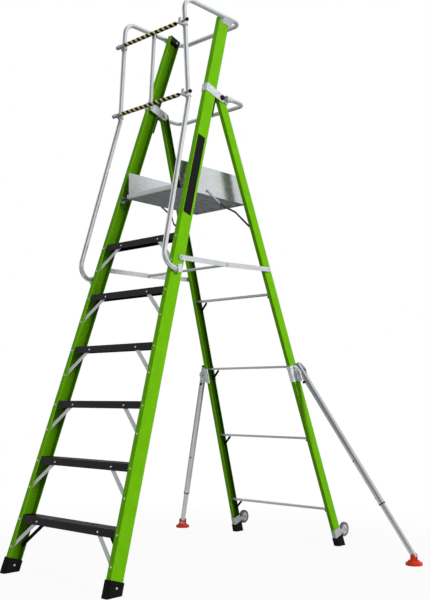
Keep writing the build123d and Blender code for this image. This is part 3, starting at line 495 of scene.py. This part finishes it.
def striped_sleeve(name, start, end):
    """Printed PVC sleeve on a gate bar: slanted black and yellow stripes, rubbed here and there."""
    size = sizes()
    material, tree = blank_material(name)
    coords = node(tree, "ShaderNodeTexCoord").outputs["Object"]
    axes = node(tree, "ShaderNodeSeparateXYZ", None, {"Vector": coords})
    lean = node(tree, "ShaderNodeMath", {"operation": "MULTIPLY"}, {0: axes.outputs["Z"], 1: size.stripe_slant})
    slant = node(tree, "ShaderNodeMath", {"operation": "ADD"}, {0: axes.outputs["X"], 1: lean.outputs[0]})
    turn = node(tree, "ShaderNodeMath", {"operation": "DIVIDE"}, {0: slant.outputs[0], 1: size.stripe_pitch})
    wave = node(tree, "ShaderNodeMath", {"operation": "FRACT"}, {0: turn.outputs[0]})
    fold = node(tree, "ShaderNodeMath", {"operation": "PINGPONG"}, {0: wave.outputs[0], 1: 0.5})
    edge = size.stripe_black / 2
    print_share = node(
        tree, "ShaderNodeMapRange", None, {"Value": fold.outputs[0], "From Min": edge - 0.02, "From Max": edge + 0.02}
    )
    rub = node(tree, "ShaderNodeTexNoise", None, {"Vector": coords, "Scale": 1 / (18 * MM), "Detail": 4.0})
    rub_share = node(
        tree,
        "ShaderNodeMapRange",
        None,
        {
            "Value": rub.outputs["Fac"],
            "From Min": 0.4,
            "From Max": 0.75,
            "To Min": 0.0,
            "To Max": 0.8,
        },
    )
    yellow = tuple(colours().stripe_yellow)
    faded = node(
        tree,
        "ShaderNodeMix",
        {"data_type": "RGBA"},
        {FACTOR: rub_share.outputs[0], COLOUR_A: yellow, COLOUR_B: shade(yellow, 0.6)},
    )
    printed = node(
        tree,
        "ShaderNodeMix",
        {"data_type": "RGBA"},
        {FACTOR: print_share.outputs[0], COLOUR_A: linear("#0A0A0B"), COLOUR_B: faded.outputs[COLOUR_RESULT]},
    )
    after = node(tree, "ShaderNodeMath", {"operation": "GREATER_THAN"}, {0: axes.outputs["X"], 1: start})
    before = node(tree, "ShaderNodeMath", {"operation": "LESS_THAN"}, {0: axes.outputs["X"], 1: end})
    sleeved = node(tree, "ShaderNodeMath", {"operation": "MULTIPLY"}, {0: after.outputs[0], 1: before.outputs[0]})
    body = node(
        tree,
        "ShaderNodeMix",
        {"data_type": "RGBA"},
        {FACTOR: sleeved.outputs[0], COLOUR_A: linear("#A4A7AA"), COLOUR_B: printed.outputs[COLOUR_RESULT]},
    )
    gloss = node(
        tree,
        "ShaderNodeMapRange",
        None,
        {
            "Value": rub.outputs["Fac"],
            "From Min": 0.3,
            "From Max": 0.7,
            "To Min": 0.36,
            "To Max": 0.55,
        },
    )
    close_material(
        tree, {"Base Color": body.outputs[COLOUR_RESULT], "Roughness": gloss.outputs[0], "Specular IOR Level": 0.15}
    )
    return material


def wheel_finish(name, centre, hub_radius):
    """Grey rubber tyre on a pale nylon hub, told apart by the distance from the axle."""
    material, tree = blank_material(name)
    coords = node(tree, "ShaderNodeTexCoord").outputs["Object"]
    spoke = node(tree, "ShaderNodeVectorMath", {"operation": "SUBTRACT"}, {0: coords, 1: tuple(centre)})
    flat = node(
        tree, "ShaderNodeVectorMath", {"operation": "MULTIPLY"}, {0: spoke.outputs["Vector"], 1: (0, 1, 1)}
    )
    radius = node(tree, "ShaderNodeVectorMath", {"operation": "LENGTH"}, {0: flat.outputs["Vector"]})
    rim = node(
        tree,
        "ShaderNodeMapRange",
        None,
        {"Value": radius.outputs["Value"], "From Min": hub_radius - 0.4 * MM, "From Max": hub_radius + 0.4 * MM},
    )
    grime = node(tree, "ShaderNodeTexNoise", None, {"Vector": coords, "Scale": 1 / (14 * MM), "Detail": 4.0})
    hub = node(
        tree,
        "ShaderNodeMix",
        {"data_type": "RGBA"},
        {FACTOR: grime.outputs["Fac"], COLOUR_A: linear("#D2D2CC"), COLOUR_B: linear("#A2A29C")},
    )
    tyre = node(
        tree,
        "ShaderNodeMix",
        {"data_type": "RGBA"},
        {
            FACTOR: grime.outputs["Fac"],
            COLOUR_A: tuple(colours().tyre_grey),
            COLOUR_B: shade(tuple(colours().tyre_grey), 0.6),
        },
    )
    body = node(
        tree,
        "ShaderNodeMix",
        {"data_type": "RGBA"},
        {FACTOR: rim.outputs[0], COLOUR_A: hub.outputs[COLOUR_RESULT], COLOUR_B: tyre.outputs[COLOUR_RESULT]},
    )
    gloss = node(tree, "ShaderNodeMapRange", None, {"Value": rim.outputs[0], "To Min": 0.45, "To Max": 0.75})
    relief = node(
        tree, "ShaderNodeBump", None, {"Height": grime.outputs["Fac"], "Distance": 0.3 * MM, "Strength": 0.5}
    )
    close_material(
        tree,
        {
            "Base Color": body.outputs[COLOUR_RESULT],
            "Roughness": gloss.outputs[0],
            "Normal": relief.outputs["Normal"],
            "Specular IOR Level": 0.3,
        },
    )
    return material


def bolt_with_knob(name, seat):
    """Zinc-plated bolt, bluish grey, with a matt black nylon knob further out than the seat."""
    material, tree = blank_material(name)
    coords = node(tree, "ShaderNodeTexCoord").outputs["Object"]
    axes = node(tree, "ShaderNodeSeparateXYZ", None, {"Vector": coords})
    aside = aside_from_middle(tree, axes)
    knob = node(tree, "ShaderNodeMath", {"operation": "GREATER_THAN"}, {0: aside, 1: seat})
    spangle = node(tree, "ShaderNodeTexNoise", None, {"Vector": coords, "Scale": 1 / (8 * MM), "Detail": 4.0})
    zinc = node(
        tree,
        "ShaderNodeMix",
        {"data_type": "RGBA"},
        {FACTOR: spangle.outputs["Fac"], COLOUR_A: linear("#D0D2D4"), COLOUR_B: linear("#A9ABAD")},
    )
    body = node(
        tree,
        "ShaderNodeMix",
        {"data_type": "RGBA"},
        {FACTOR: knob.outputs[0], COLOUR_A: zinc.outputs[COLOUR_RESULT], COLOUR_B: tuple(colours().plastic_black)},
    )
    plated = node(tree, "ShaderNodeMapRange", None, {"Value": knob.outputs[0], "To Min": 0.8, "To Max": 0.0})
    gloss = node(tree, "ShaderNodeMapRange", None, {"Value": spangle.outputs["Fac"], "To Min": 0.3, "To Max": 0.5})
    close_material(
        tree,
        {
            "Base Color": body.outputs[COLOUR_RESULT],
            "Metallic": plated.outputs[0],
            "Roughness": gloss.outputs[0],
            "Specular IOR Level": 0.15,
        },
    )
    return material


def dress(material, *names):
    """Give CAD nodes a material."""
    for name in names:
        slots = NODES[name].data.materials
        slots.clear()
        slots.append(material)


def finish_mesh(name, mesh_data, material, body, smooth=True):
    """Turn a bmesh into a piece that rides on a body."""
    mesh = bpy.data.meshes.new(name)
    mesh_data.to_mesh(mesh)
    mesh_data.free()
    for face in mesh.polygons:
        face.use_smooth = smooth
    mesh.materials.append(material)
    piece = bpy.data.objects.new(name, mesh)
    bpy.context.scene.collection.objects.link(piece)
    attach(piece, body)
    return piece


def lathe(mesh_data, profile, matrix, steps=20, hollow=False):
    """Add a turned form: profile points are (radius, height), closed at both ends or joined into a ring."""
    loops = []
    for radius, height in profile:
        loop = []
        for i in range(steps):
            angle = 2 * math.pi * i / steps
            point = Vector((radius * math.cos(angle), radius * math.sin(angle), height))
            loop.append(mesh_data.verts.new(matrix @ point))
        loops.append(loop)
    if hollow:
        loops.append(loops[0])
    else:
        mesh_data.faces.new(list(reversed(loops[0])))
        mesh_data.faces.new(loops[-1])
    for low, high in zip(loops, loops[1:]):
        for i in range(steps):
            j = (i + 1) % steps
            mesh_data.faces.new((low[i], low[j], high[j], high[i]))


def dome(radius, height):
    """Profile of a rivet's domed head, sunk a little into its seat."""
    return [
        (radius, -0.2 * MM),
        (radius, 0.25 * height),
        (radius * 0.82, 0.7 * height),
        (radius * 0.4, height),
    ]


def front_rail_place(side, height):
    """Matrix on a front rail's outer face: X back across its depth, Y inwards, Z up the rail."""
    up = Vector((-FRONT_TAPER * side, math.tan(FRONT_LEAN), 1)).normalized()
    back = Vector((0, math.cos(FRONT_LEAN), -math.sin(FRONT_LEAN)))
    inward = up.cross(back).normalized()
    if inward.x * side > 0:
        inward.negate()
    matrix = Matrix((back, inward, up)).transposed().to_4x4()
    matrix.translation = (
        MID_X + side * (FRONT_HALF - FRONT_TAPER * height),
        BASE_Y + FRONT_FOOT + height * math.tan(FRONT_LEAN),
        height,
    )
    return matrix


def aim(origin, direction):
    """Matrix with Z along a direction."""
    matrix = Vector(direction).to_track_quat("Z", "Y").to_matrix().to_4x4()
    matrix.translation = Vector(origin)
    return matrix


class LadderColours(bpy.types.PropertyGroup):
    """Colours that a user would change."""

    rail_green: FloatVectorProperty(
        name="Rail green", description="Fibreglass rails", subtype="COLOR", default=linear("#6CB40C")
    )
    step_black: FloatVectorProperty(
        name="Step black", description="Coated steps", subtype="COLOR", default=linear("#131315")
    )
    silver: FloatVectorProperty(
        name="Silver", description="Tubes, straps and toe boards", subtype="COLOR", default=linear("#CDD0D2")
    )
    cast_grey: FloatVectorProperty(
        name="Cast grey", description="Brackets", subtype="COLOR", default=linear("#A2A5A8")
    )
    plastic_black: FloatVectorProperty(
        name="Plastic black", description="Caps, knobs and buttons", subtype="COLOR", default=linear("#0F0F10")
    )
    rubber_black: FloatVectorProperty(
        name="Rubber black", description="Ladder feet", subtype="COLOR", default=linear("#0D0D0E")
    )
    tyre_grey: FloatVectorProperty(
        name="Tyre grey", description="Wheel tyres", subtype="COLOR", default=linear("#7D7876")
    )
    foot_red: FloatVectorProperty(
        name="Foot red", description="Outrigger feet", subtype="COLOR", default=linear("#BC3220")
    )
    stripe_yellow: FloatVectorProperty(
        name="Stripe yellow", description="Gate bar sleeves", subtype="COLOR", default=linear("#FFF0AC")
    )


class LadderSizes(bpy.types.PropertyGroup):
    """Sizes that a user would change."""

    stripe_pitch: FloatProperty(
        name="Stripe pitch", description="One black and one yellow stripe", unit="LENGTH", default=39 * MM
    )
    stripe_black: FloatProperty(
        name="Black share", description="Share of a pitch that is black", subtype="FACTOR", default=0.6
    )
    stripe_slant: FloatProperty(
        name="Stripe slant", description="Sideways shift of a stripe for its height", default=0.8
    )
    sleeve_left: FloatProperty(
        name="Bare left end", description="Bare left end of a gate bar", unit="LENGTH", default=72 * MM
    )
    sleeve_right: FloatProperty(
        name="Bare right end", description="Bare rod next to a knob", unit="LENGTH", default=65 * MM
    )
    panel_low: FloatProperty(
        name="Panel bottom", description="Height of the plain panel's lower end", unit="LENGTH", default=1.940
    )
    panel_high: FloatProperty(
        name="Panel top", description="Height of the plain panel's upper end", unit="LENGTH", default=2.424
    )
    panel_width: FloatProperty(
        name="Panel width", description="Width of the plain panel", unit="LENGTH", default=60 * MM
    )
    rivet_radius: FloatProperty(
        name="Rivet radius", description="Rivets in feet and caps", unit="LENGTH", default=6 * MM
    )


def colours():
    return bpy.context.scene.ladder_colours


def sizes():
    return bpy.context.scene.ladder_sizes


class LADDER_OT_stage(bpy.types.Operator):
    """White floor that keeps the shadow, soft studio light and the camera"""

    bl_idname = "ladder.stage"
    bl_label = "Stage"

    def execute(self, context):
        context.scene.view_settings.view_transform = "Standard"
        self.floor(context)
        self.backdrop(context.scene)
        self.lamps(context.scene)
        self.camera(context.scene)
        return {"FINISHED"}

    def floor(self, context):
        bpy.ops.mesh.primitive_plane_add(size=80, location=(0, 0, 0))
        floor = context.object
        floor.name = "stage_floor"
        # Matt white paper: near the ladder it shows its shadow, further off it is plain white to the eye
        material, tree = blank_material("white_paper_floor")
        coords = node(tree, "ShaderNodeTexCoord").outputs["Object"]
        far = node(tree, "ShaderNodeVectorMath", {"operation": "LENGTH"}, {0: coords})
        fade = node(
            tree,
            "ShaderNodeMapRange",
            None,
            {
                "Value": far.outputs["Value"],
                "From Min": FLOOR_NEAR,
                "From Max": FLOOR_FAR,
                "To Min": 0.95,
                "To Max": 1.0,
            },
        )
        path, seen = seen_rays(tree)
        share = node(tree, "ShaderNodeMath", {"operation": "MULTIPLY"}, {0: seen, 1: fade.outputs[0]})
        paper = node(tree, "ShaderNodeBsdfDiffuse", None, {"Color": linear("#A6A6A6")})
        # Bare metal mirrors the floor as grey further off
        dusk = node(
            tree,
            "ShaderNodeMapRange",
            None,
            {
                "Value": far.outputs["Value"],
                "From Min": FLOOR_NEAR,
                "From Max": FLOOR_FAR,
                "To Min": 0.85,
                "To Max": 0.35,
            },
        )
        glow = node(
            tree,
            "ShaderNodeMix",
            {"data_type": "FLOAT"},
            {FACTOR: path.outputs["Is Glossy Ray"], FLOAT_A: 1.0, FLOAT_B: dusk.outputs[0]},
        )
        white = node(tree, "ShaderNodeEmission", None, {"Color": (1, 1, 1, 1), "Strength": glow.outputs[0]})
        mixed = node(
            tree,
            "ShaderNodeMixShader",
            None,
            {0: share.outputs[0], 1: paper.outputs["BSDF"], 2: white.outputs["Emission"]},
        )
        node(tree, "ShaderNodeOutputMaterial", None, {"Surface": mixed.outputs["Shader"]})
        floor.data.materials.append(material)

    def backdrop(self, scene):
        world = bpy.data.worlds.new("studio_world")
        scene.world = world
        world.use_nodes = True
        tree = world.node_tree
        tree.nodes.clear()
        path, seen = seen_rays(tree)
        # Bare metal mirrors a white room with a dark patch on the viewer's side
        way = node(tree, "ShaderNodeTexCoord").outputs["Generated"]
        towards = node(
            tree, "ShaderNodeVectorMath", {"operation": "DOT_PRODUCT"}, {0: way, 1: (0.1, -0.8, 0.59)}
        )
        patch = node(
            tree,
            "ShaderNodeMapRange",
            None,
            {
                "Value": towards.outputs["Value"],
                "From Min": 0.6,
                "From Max": 0.95,
                "To Min": 1.0,
                "To Max": 0.06,
            },
        )
        room = node(
            tree,
            "ShaderNodeMix",
            {"data_type": "FLOAT"},
            {FACTOR: path.outputs["Is Glossy Ray"], FLOAT_A: 1.0, FLOAT_B: patch.outputs[0]},
        )
        white = node(tree, "ShaderNodeBackground", None, {"Color": (1, 1, 1, 1), "Strength": room.outputs[0]})
        soft = node(tree, "ShaderNodeBackground", None, {"Color": (1, 1, 1, 1), "Strength": 0.24})
        mixed = node(
            tree,
            "ShaderNodeMixShader",
            None,
            {0: seen, 1: soft.outputs["Background"], 2: white.outputs["Background"]},
        )
        node(tree, "ShaderNodeOutputWorld", None, {"Surface": mixed.outputs["Shader"]})

    def lamps(self, scene):
        target = Vector((0, 0, 1.6))
        for name, place, size, power in (
            ("key_softbox", (8.6, -0.9, 3.6), 1.8, 680),
            ("fill_softbox", (-1.5, -6.0, 6.0), 4.0, 130),
            ("back_softbox", (2.5, 6.0, 5.0), 4.0, 60),
        ):
            data = bpy.data.lights.new(name, "AREA")
            data.shape = "SQUARE"
            data.size = size
            data.energy = power
            lamp = bpy.data.objects.new(name, data)
            scene.collection.objects.link(lamp)
            # The room alone shows in bare metal, not the lamps
            lamp.visible_glossy = False
            lamp.location = place
            lamp.rotation_euler = (target - Vector(place)).to_track_quat("-Z", "Y").to_euler()

    def camera(self, scene):
        data = bpy.data.cameras.new("photo_camera")
        data.sensor_width = SENSOR
        data.lens = FOCAL_LENGTH * SENSOR / PHOTO_HEIGHT
        data.clip_end = 200.0
        camera = bpy.data.objects.new("photo_camera", data)
        scene.collection.objects.link(camera)
        camera.location = CAMERA_PLACE
        camera.rotation_euler = (math.radians(90 + CAMERA_PITCH), 0, math.radians(CAMERA_YAW))
        scene.camera = camera


class LADDER_OT_rails(bpy.types.Operator):
    """Green finish on the front and rear rails, black top caps with their rivets"""

    bl_idname = "ladder.rails"
    bl_label = "Rails"

    def execute(self, context):
        front = (FRONT_HALF, FRONT_TAPER, FRONT_FOOT, math.tan(FRONT_LEAN), FRONT_DEPTH, FRONT_FLANGE)
        rear = (REAR_HALF, REAR_TAPER, REAR_FOOT, -math.tan(REAR_LEAN), REAR_DEPTH, REAR_FLANGE)
        # The channel's inside gets painted shade: it keeps 0.7 of the colour on the front rails and 0.3 on the rear
        # ones.
        green = pultruded_fibreglass("pultruded_fibreglass_front", ALONG_FRONT, 0.7, *front)
        dress(green, "front_rail_left", "front_rail_right")
        green = pultruded_fibreglass("pultruded_fibreglass_rear", ALONG_REAR, 0.3, *rear)
        dress(green, "rear_rail_left", "rear_rail_right")
        dress(moulded_plastic("moulded_nylon_caps", tuple(colours().plastic_black)), "rail_top_caps")
        rivets = bmesh.new()
        for side in (-1, 1):
            place = front_rail_place(side, RAIL_TOP)
            inward = place.to_3x3() @ Vector((0, 1, 0))
            seat = place @ Vector((CAP_RIVET_BACK, FRONT_FLANGE, -CAP_RIVET_DROP))
            lathe(rivets, dome(sizes().rivet_radius, RIVET_HEIGHT), aim(seat, inward))
        finish_mesh("cap_rivets", rivets, zinc_plate("zinc_plated_cap_rivets", "#D8DADC"), "front_frame")
        return {"FINISHED"}


class LADDER_OT_steps(bpy.types.Operator):
    """Black steps with their straps and rivets"""

    bl_idname = "ladder.steps"
    bl_label = "Steps"

    def execute(self, context):
        black = powder_coat("powder_coated_aluminium")
        dress(black, *[name for name in NODES if name.startswith("step_") and name[5:].isdigit()])
        dress(black, "rung_braces", "step_rear_straps")
        dress(mill_aluminium("mill_aluminium_straps", ALONG_X, tone=1.0, rough=0.4), "step_knee_straps")
        dress(zinc_plate("zinc_plated_rivets", "#D0D2D4"), "step_rivets")
        return {"FINISHED"}


class LADDER_OT_guard_rails(bpy.types.Operator):
    """Tubes of the handrails and guard rails, clamps, hinge brackets and the buffers below them"""

    bl_idname = "ladder.guard_rails"
    bl_label = "Guard rails"

    def execute(self, context):
        upright = mill_aluminium("drawn_aluminium_tube_upright", ALONG_FRONT, tone=1.25, rough=0.3, metal=0.85)
        dress(upright, "handrail_left", "handrail_right", "gate_tie_bar")
        level = mill_aluminium("drawn_aluminium_tube_level", ALONG_X, tone=1.15, rough=0.3, metal=0.85)
        dress(level, "top_guard_rail", "mid_guard_rail")
        pressed = cast_aluminium("pressed_aluminium_brackets", tone=1.8)
        dress(pressed, "top_rail_saddles", "handrail_clamps", "hinge_brackets", "gate_pivot_brackets", "gate_cradles")
        seat = FRONT_HALF - FRONT_TAPER * HINGE_Z + KNOB_SEAT_GAP
        dress(bolt_with_knob("zinc_plated_bolts_nylon_knobs", seat), "hinge_bolts")
        # Rubber strips behind the front rails, on which the folded rear rails come to rest
        strips = bmesh.new()
        for side in (-1, 1):
            place = front_rail_place(side, HINGE_Z - BUFFER_DROP)
            spot = Matrix.Translation((FRONT_DEPTH + BUFFER_SIZE[0] / 2, FRONT_FLANGE / 2, 0))
            bmesh.ops.create_cube(strips, matrix=place @ spot @ Matrix.Diagonal((*BUFFER_SIZE, 1)))
        rubber = moulded_rubber("moulded_rubber_buffers")
        finish_mesh("hinge_buffers", strips, rubber, "front_frame", smooth=False)
        return {"FINISHED"}


class LADDER_OT_gate(bpy.types.Operator):
    """Striped gate bars and their knobs"""

    bl_idname = "ladder.gate"
    bl_label = "Gate"

    def execute(self, context):
        for level in ("upper", "lower"):
            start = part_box(f"gate_bar_{level}")[0].x + sizes().sleeve_left
            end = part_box(f"gate_knob_{level}")[0].x - sizes().sleeve_right
            dress(striped_sleeve(f"printed_pvc_sleeve_{level}", start, end), f"gate_bar_{level}")
        balls = moulded_plastic("moulded_nylon_balls", tuple(colours().plastic_black), rough=0.35)
        dress(balls, "gate_knob_upper", "gate_knob_lower")
        return {"FINISHED"}


class LADDER_OT_platform(bpy.types.Operator):
    """Deck, nosing, toe boards, folding straps and spreader"""

    bl_idname = "ladder.platform"
    bl_label = "Platform"

    def execute(self, context):
        dress(mill_aluminium("extruded_aluminium_deck", ALONG_Y, tone=1.05, rough=0.48), "platform_deck")
        boards = mill_aluminium("sheet_aluminium_toe_boards", ALONG_Y, tone=1.1, rough=0.24, metal=0.9)
        dress(boards, "toe_board_left", "toe_board_right")
        across = mill_aluminium("extruded_aluminium_across", ALONG_X, tone=1.1, rough=0.4)
        dress(across, "toe_board_rear", "platform_nosing", "rear_rungs", "spreader_cross_bar")
        bars = mill_aluminium("flat_bar_aluminium_links", ALONG_Y, tone=1.0, rough=0.4)
        dress(bars, "spreader_front_links", "spreader_rear_links")

        def shade_beyond_bend(tree, coords):
            """Share of a platform strap behind its bend, which gets painted shade."""
            axes = node(tree, "ShaderNodeSeparateXYZ", None, {"Vector": coords})
            share = node(
                tree, "ShaderNodeMath", {"operation": "GREATER_THAN"}, {0: axes.outputs["Y"], 1: STRAP_BEND_Y}
            )
            # Painted shade: behind the bend the strap keeps 0.06 of its colour.
            bend_shade = 0.06
            return share.outputs[0], bend_shade

        shaded_straps = mill_aluminium("dipped_aluminium_straps", ALONG_Y, tone=0.55, rough=0.4, dark=shade_beyond_bend)
        dress(shaded_straps, "platform_straps")
        pivots = zinc_plate("zinc_plated_pivots", "#B4B7BA")
        dress(
            pivots,
            "platform_pivots",
            "platform_pivot_plates",
            "rear_pivot_bosses",
            "outrigger_pivot_bolts",
            "spreader_pivots",
        )
        dress(moulded_plastic("moulded_nylon_nosing_caps", tuple(colours().plastic_black)), "nosing_end_caps")
        return {"FINISHED"}


class LADDER_OT_feet(bpy.types.Operator):
    """Rubber feet with their rivets, transport wheels and their brackets"""

    bl_idname = "ladder.feet"
    bl_label = "Feet and wheels"

    def execute(self, context):
        dress(moulded_rubber("moulded_rubber_feet"), "front_feet", "rear_feet")
        for side in ("left", "right"):
            centre = JOINTS[f"wheel_spin_{side}"]["pos_m"]
            dress(wheel_finish(f"rubber_tyre_nylon_hub_{side}", centre, HUB_RADIUS), f"wheel_{side}")
        dress(cast_aluminium("pressed_wheel_brackets", tone=1.25), "wheel_brackets")
        rivets = bmesh.new()
        for side in (-1, 1):
            place = front_rail_place(side, FOOT_RIVET_HEIGHT)
            for inward, facing in ((-BOOT_WALL, -1), (FRONT_FLANGE + BOOT_WALL, 1)):
                seat = place @ Vector((FRONT_DEPTH / 2, inward, 0))
                outward = place.to_3x3() @ Vector((0, facing, 0))
                lathe(rivets, dome(sizes().rivet_radius, RIVET_HEIGHT), aim(seat, outward))
        finish_mesh("foot_rivets", rivets, zinc_plate("zinc_plated_foot_rivets", "#D8DADC"), "front_frame")
        return {"FINISHED"}


class LADDER_OT_outriggers(bpy.types.Operator):
    """Outrigger tubes, legs, brackets, buttons and red feet, with plugs, bushes and spring pins"""

    bl_idname = "ladder.outriggers"
    bl_label = "Outriggers"

    def execute(self, context):
        dress(cast_aluminium("die_cast_aluminium_brackets", tone=2.45), "outrigger_brackets")
        black = moulded_plastic("moulded_nylon_buttons", tuple(colours().plastic_black))
        red = moulded_plastic("moulded_red_nylon_feet", tuple(colours().foot_red), rough=0.4)
        for side in ("left", "right"):
            run = Vector(JOINTS[f"outrigger_extend_{side}"]["axis"])
            turn = tuple(run.to_track_quat("Z", "Y").to_euler())
            tube = mill_aluminium(f"drawn_outrigger_tube_{side}", turn, tone=0.95, rough=0.28, metal=0.9)
            dress(tube, f"outrigger_tube_{side}", f"outrigger_leg_{side}")
            dress(black, f"outrigger_button_{side}")
            dress(red, f"outrigger_foot_{side}")
            pivot = Vector(JOINTS[f"outrigger_swing_{side}"]["pos_m"])
            plug = bmesh.new()
            lathe(plug, PLUG_PROFILE, aim(pivot - run * TUBE_TOP, -run), TUBE_STEPS)
            finish_mesh(f"tube_plug_{side}", plug, black, f"outrigger_{side}")
            # Black bush at the tube's lower end and a spring pin in its first hole
            bush = bmesh.new()
            lathe(bush, BUSH_PROFILE, aim(pivot + run * TUBE_END, run), TUBE_STEPS, hollow=True)
            outward = -Vector(JOINTS[f"outrigger_button_press_{side}"]["axis"])
            seat = pivot + run * FIRST_HOLE + outward * SPRING_PIN_SEAT
            lathe(bush, dome(SPRING_PIN_RADIUS, SPRING_PIN_HEIGHT), aim(seat, outward))
            bmesh.ops.recalc_face_normals(bush, faces=bush.faces)
            finish_mesh(f"tube_bush_{side}", bush, black, f"outrigger_{side}", smooth=False)
        return {"FINISHED"}


class LADDER_OT_panel(bpy.types.Operator):
    """Plain black panel on the right front rail"""

    bl_idname = "ladder.panel"
    bl_label = "Plain panel"

    def execute(self, context):
        size = sizes()
        place = front_rail_place(1, size.panel_low)
        length = (size.panel_high - size.panel_low) / math.cos(FRONT_LEAN)
        centre = FRONT_DEPTH / 2 - PANEL_FORWARD
        half = size.panel_width / 2
        corner = PANEL_CORNER
        outline = []
        for across, along, start in (
            (centre + half - corner, corner, -90),
            (centre + half - corner, length - corner, 0),
            (centre - half + corner, length - corner, 90),
            (centre - half + corner, corner, 180),
        ):
            for step in range(CORNER_STEPS + 1):
                angle = math.radians(start + 90 * step / CORNER_STEPS)
                outline.append((across + corner * math.cos(angle), along + corner * math.sin(angle)))
        panel = bmesh.new()
        rings = []
        for depth, inset in PANEL_RINGS:
            ring = []
            for across, along in outline:
                point = Vector((centre + (across - centre) * inset, depth, along))
                ring.append(panel.verts.new(place @ point))
            rings.append(ring)
        panel.faces.new(rings[0])
        for low, high in zip(rings, rings[1:]):
            for i in range(len(low)):
                j = (i + 1) % len(low)
                panel.faces.new((low[i], low[j], high[j], high[i]))
        panel.faces.new(list(reversed(rings[-1])))
        bmesh.ops.recalc_face_normals(panel, faces=panel.faces)
        black = moulded_plastic("vinyl_panel", linear("#080808"), rough=0.6)
        finish_mesh("plain_panel", panel, black, "front_frame", smooth=False)
        return {"FINISHED"}


class LADDER_PT_sidebar(bpy.types.Panel):
    """Lists the ladder's finishes and fittings"""

    bl_label = "Platform Stepladder"
    bl_space_type = "VIEW_3D"
    bl_region_type = "UI"
    bl_category = "Stepladder"

    def draw(self, context):
        column = self.layout.column()
        for group in (context.scene.ladder_colours, context.scene.ladder_sizes):
            for key in group.__annotations__:
                column.prop(group, key)
        for operator in OPERATORS:
            column.operator(operator.bl_idname)


GROUPS = (LadderColours, LadderSizes)
OPERATORS = (
    LADDER_OT_stage,
    LADDER_OT_rails,
    LADDER_OT_steps,
    LADDER_OT_guard_rails,
    LADDER_OT_gate,
    LADDER_OT_platform,
    LADDER_OT_feet,
    LADDER_OT_outriggers,
    LADDER_OT_panel,
)


def register():
    for cls in (*GROUPS, *OPERATORS, LADDER_PT_sidebar):
        bpy.utils.register_class(cls)
    bpy.types.Scene.ladder_colours = PointerProperty(type=LadderColours)
    bpy.types.Scene.ladder_sizes = PointerProperty(type=LadderSizes)


def unregister():
    del bpy.types.Scene.ladder_sizes
    del bpy.types.Scene.ladder_colours
    for cls in reversed((*GROUPS, *OPERATORS, LADDER_PT_sidebar)):
        bpy.utils.unregister_class(cls)


def main():
    register()
    bpy.ops.ladder.stage()
    bpy.ops.ladder.rails()
    bpy.ops.ladder.steps()
    bpy.ops.ladder.guard_rails()
    bpy.ops.ladder.gate()
    bpy.ops.ladder.platform()
    bpy.ops.ladder.feet()
    bpy.ops.ladder.outriggers()
    bpy.ops.ladder.panel()
    bare = [
        name
        for name, piece in NODES.items()
        if not piece.data.materials or not piece.data.materials[0].use_nodes
    ]
    if bare:
        raise RuntimeError(f"no finish on {bare}")


if __name__ == "__main__":
    main()
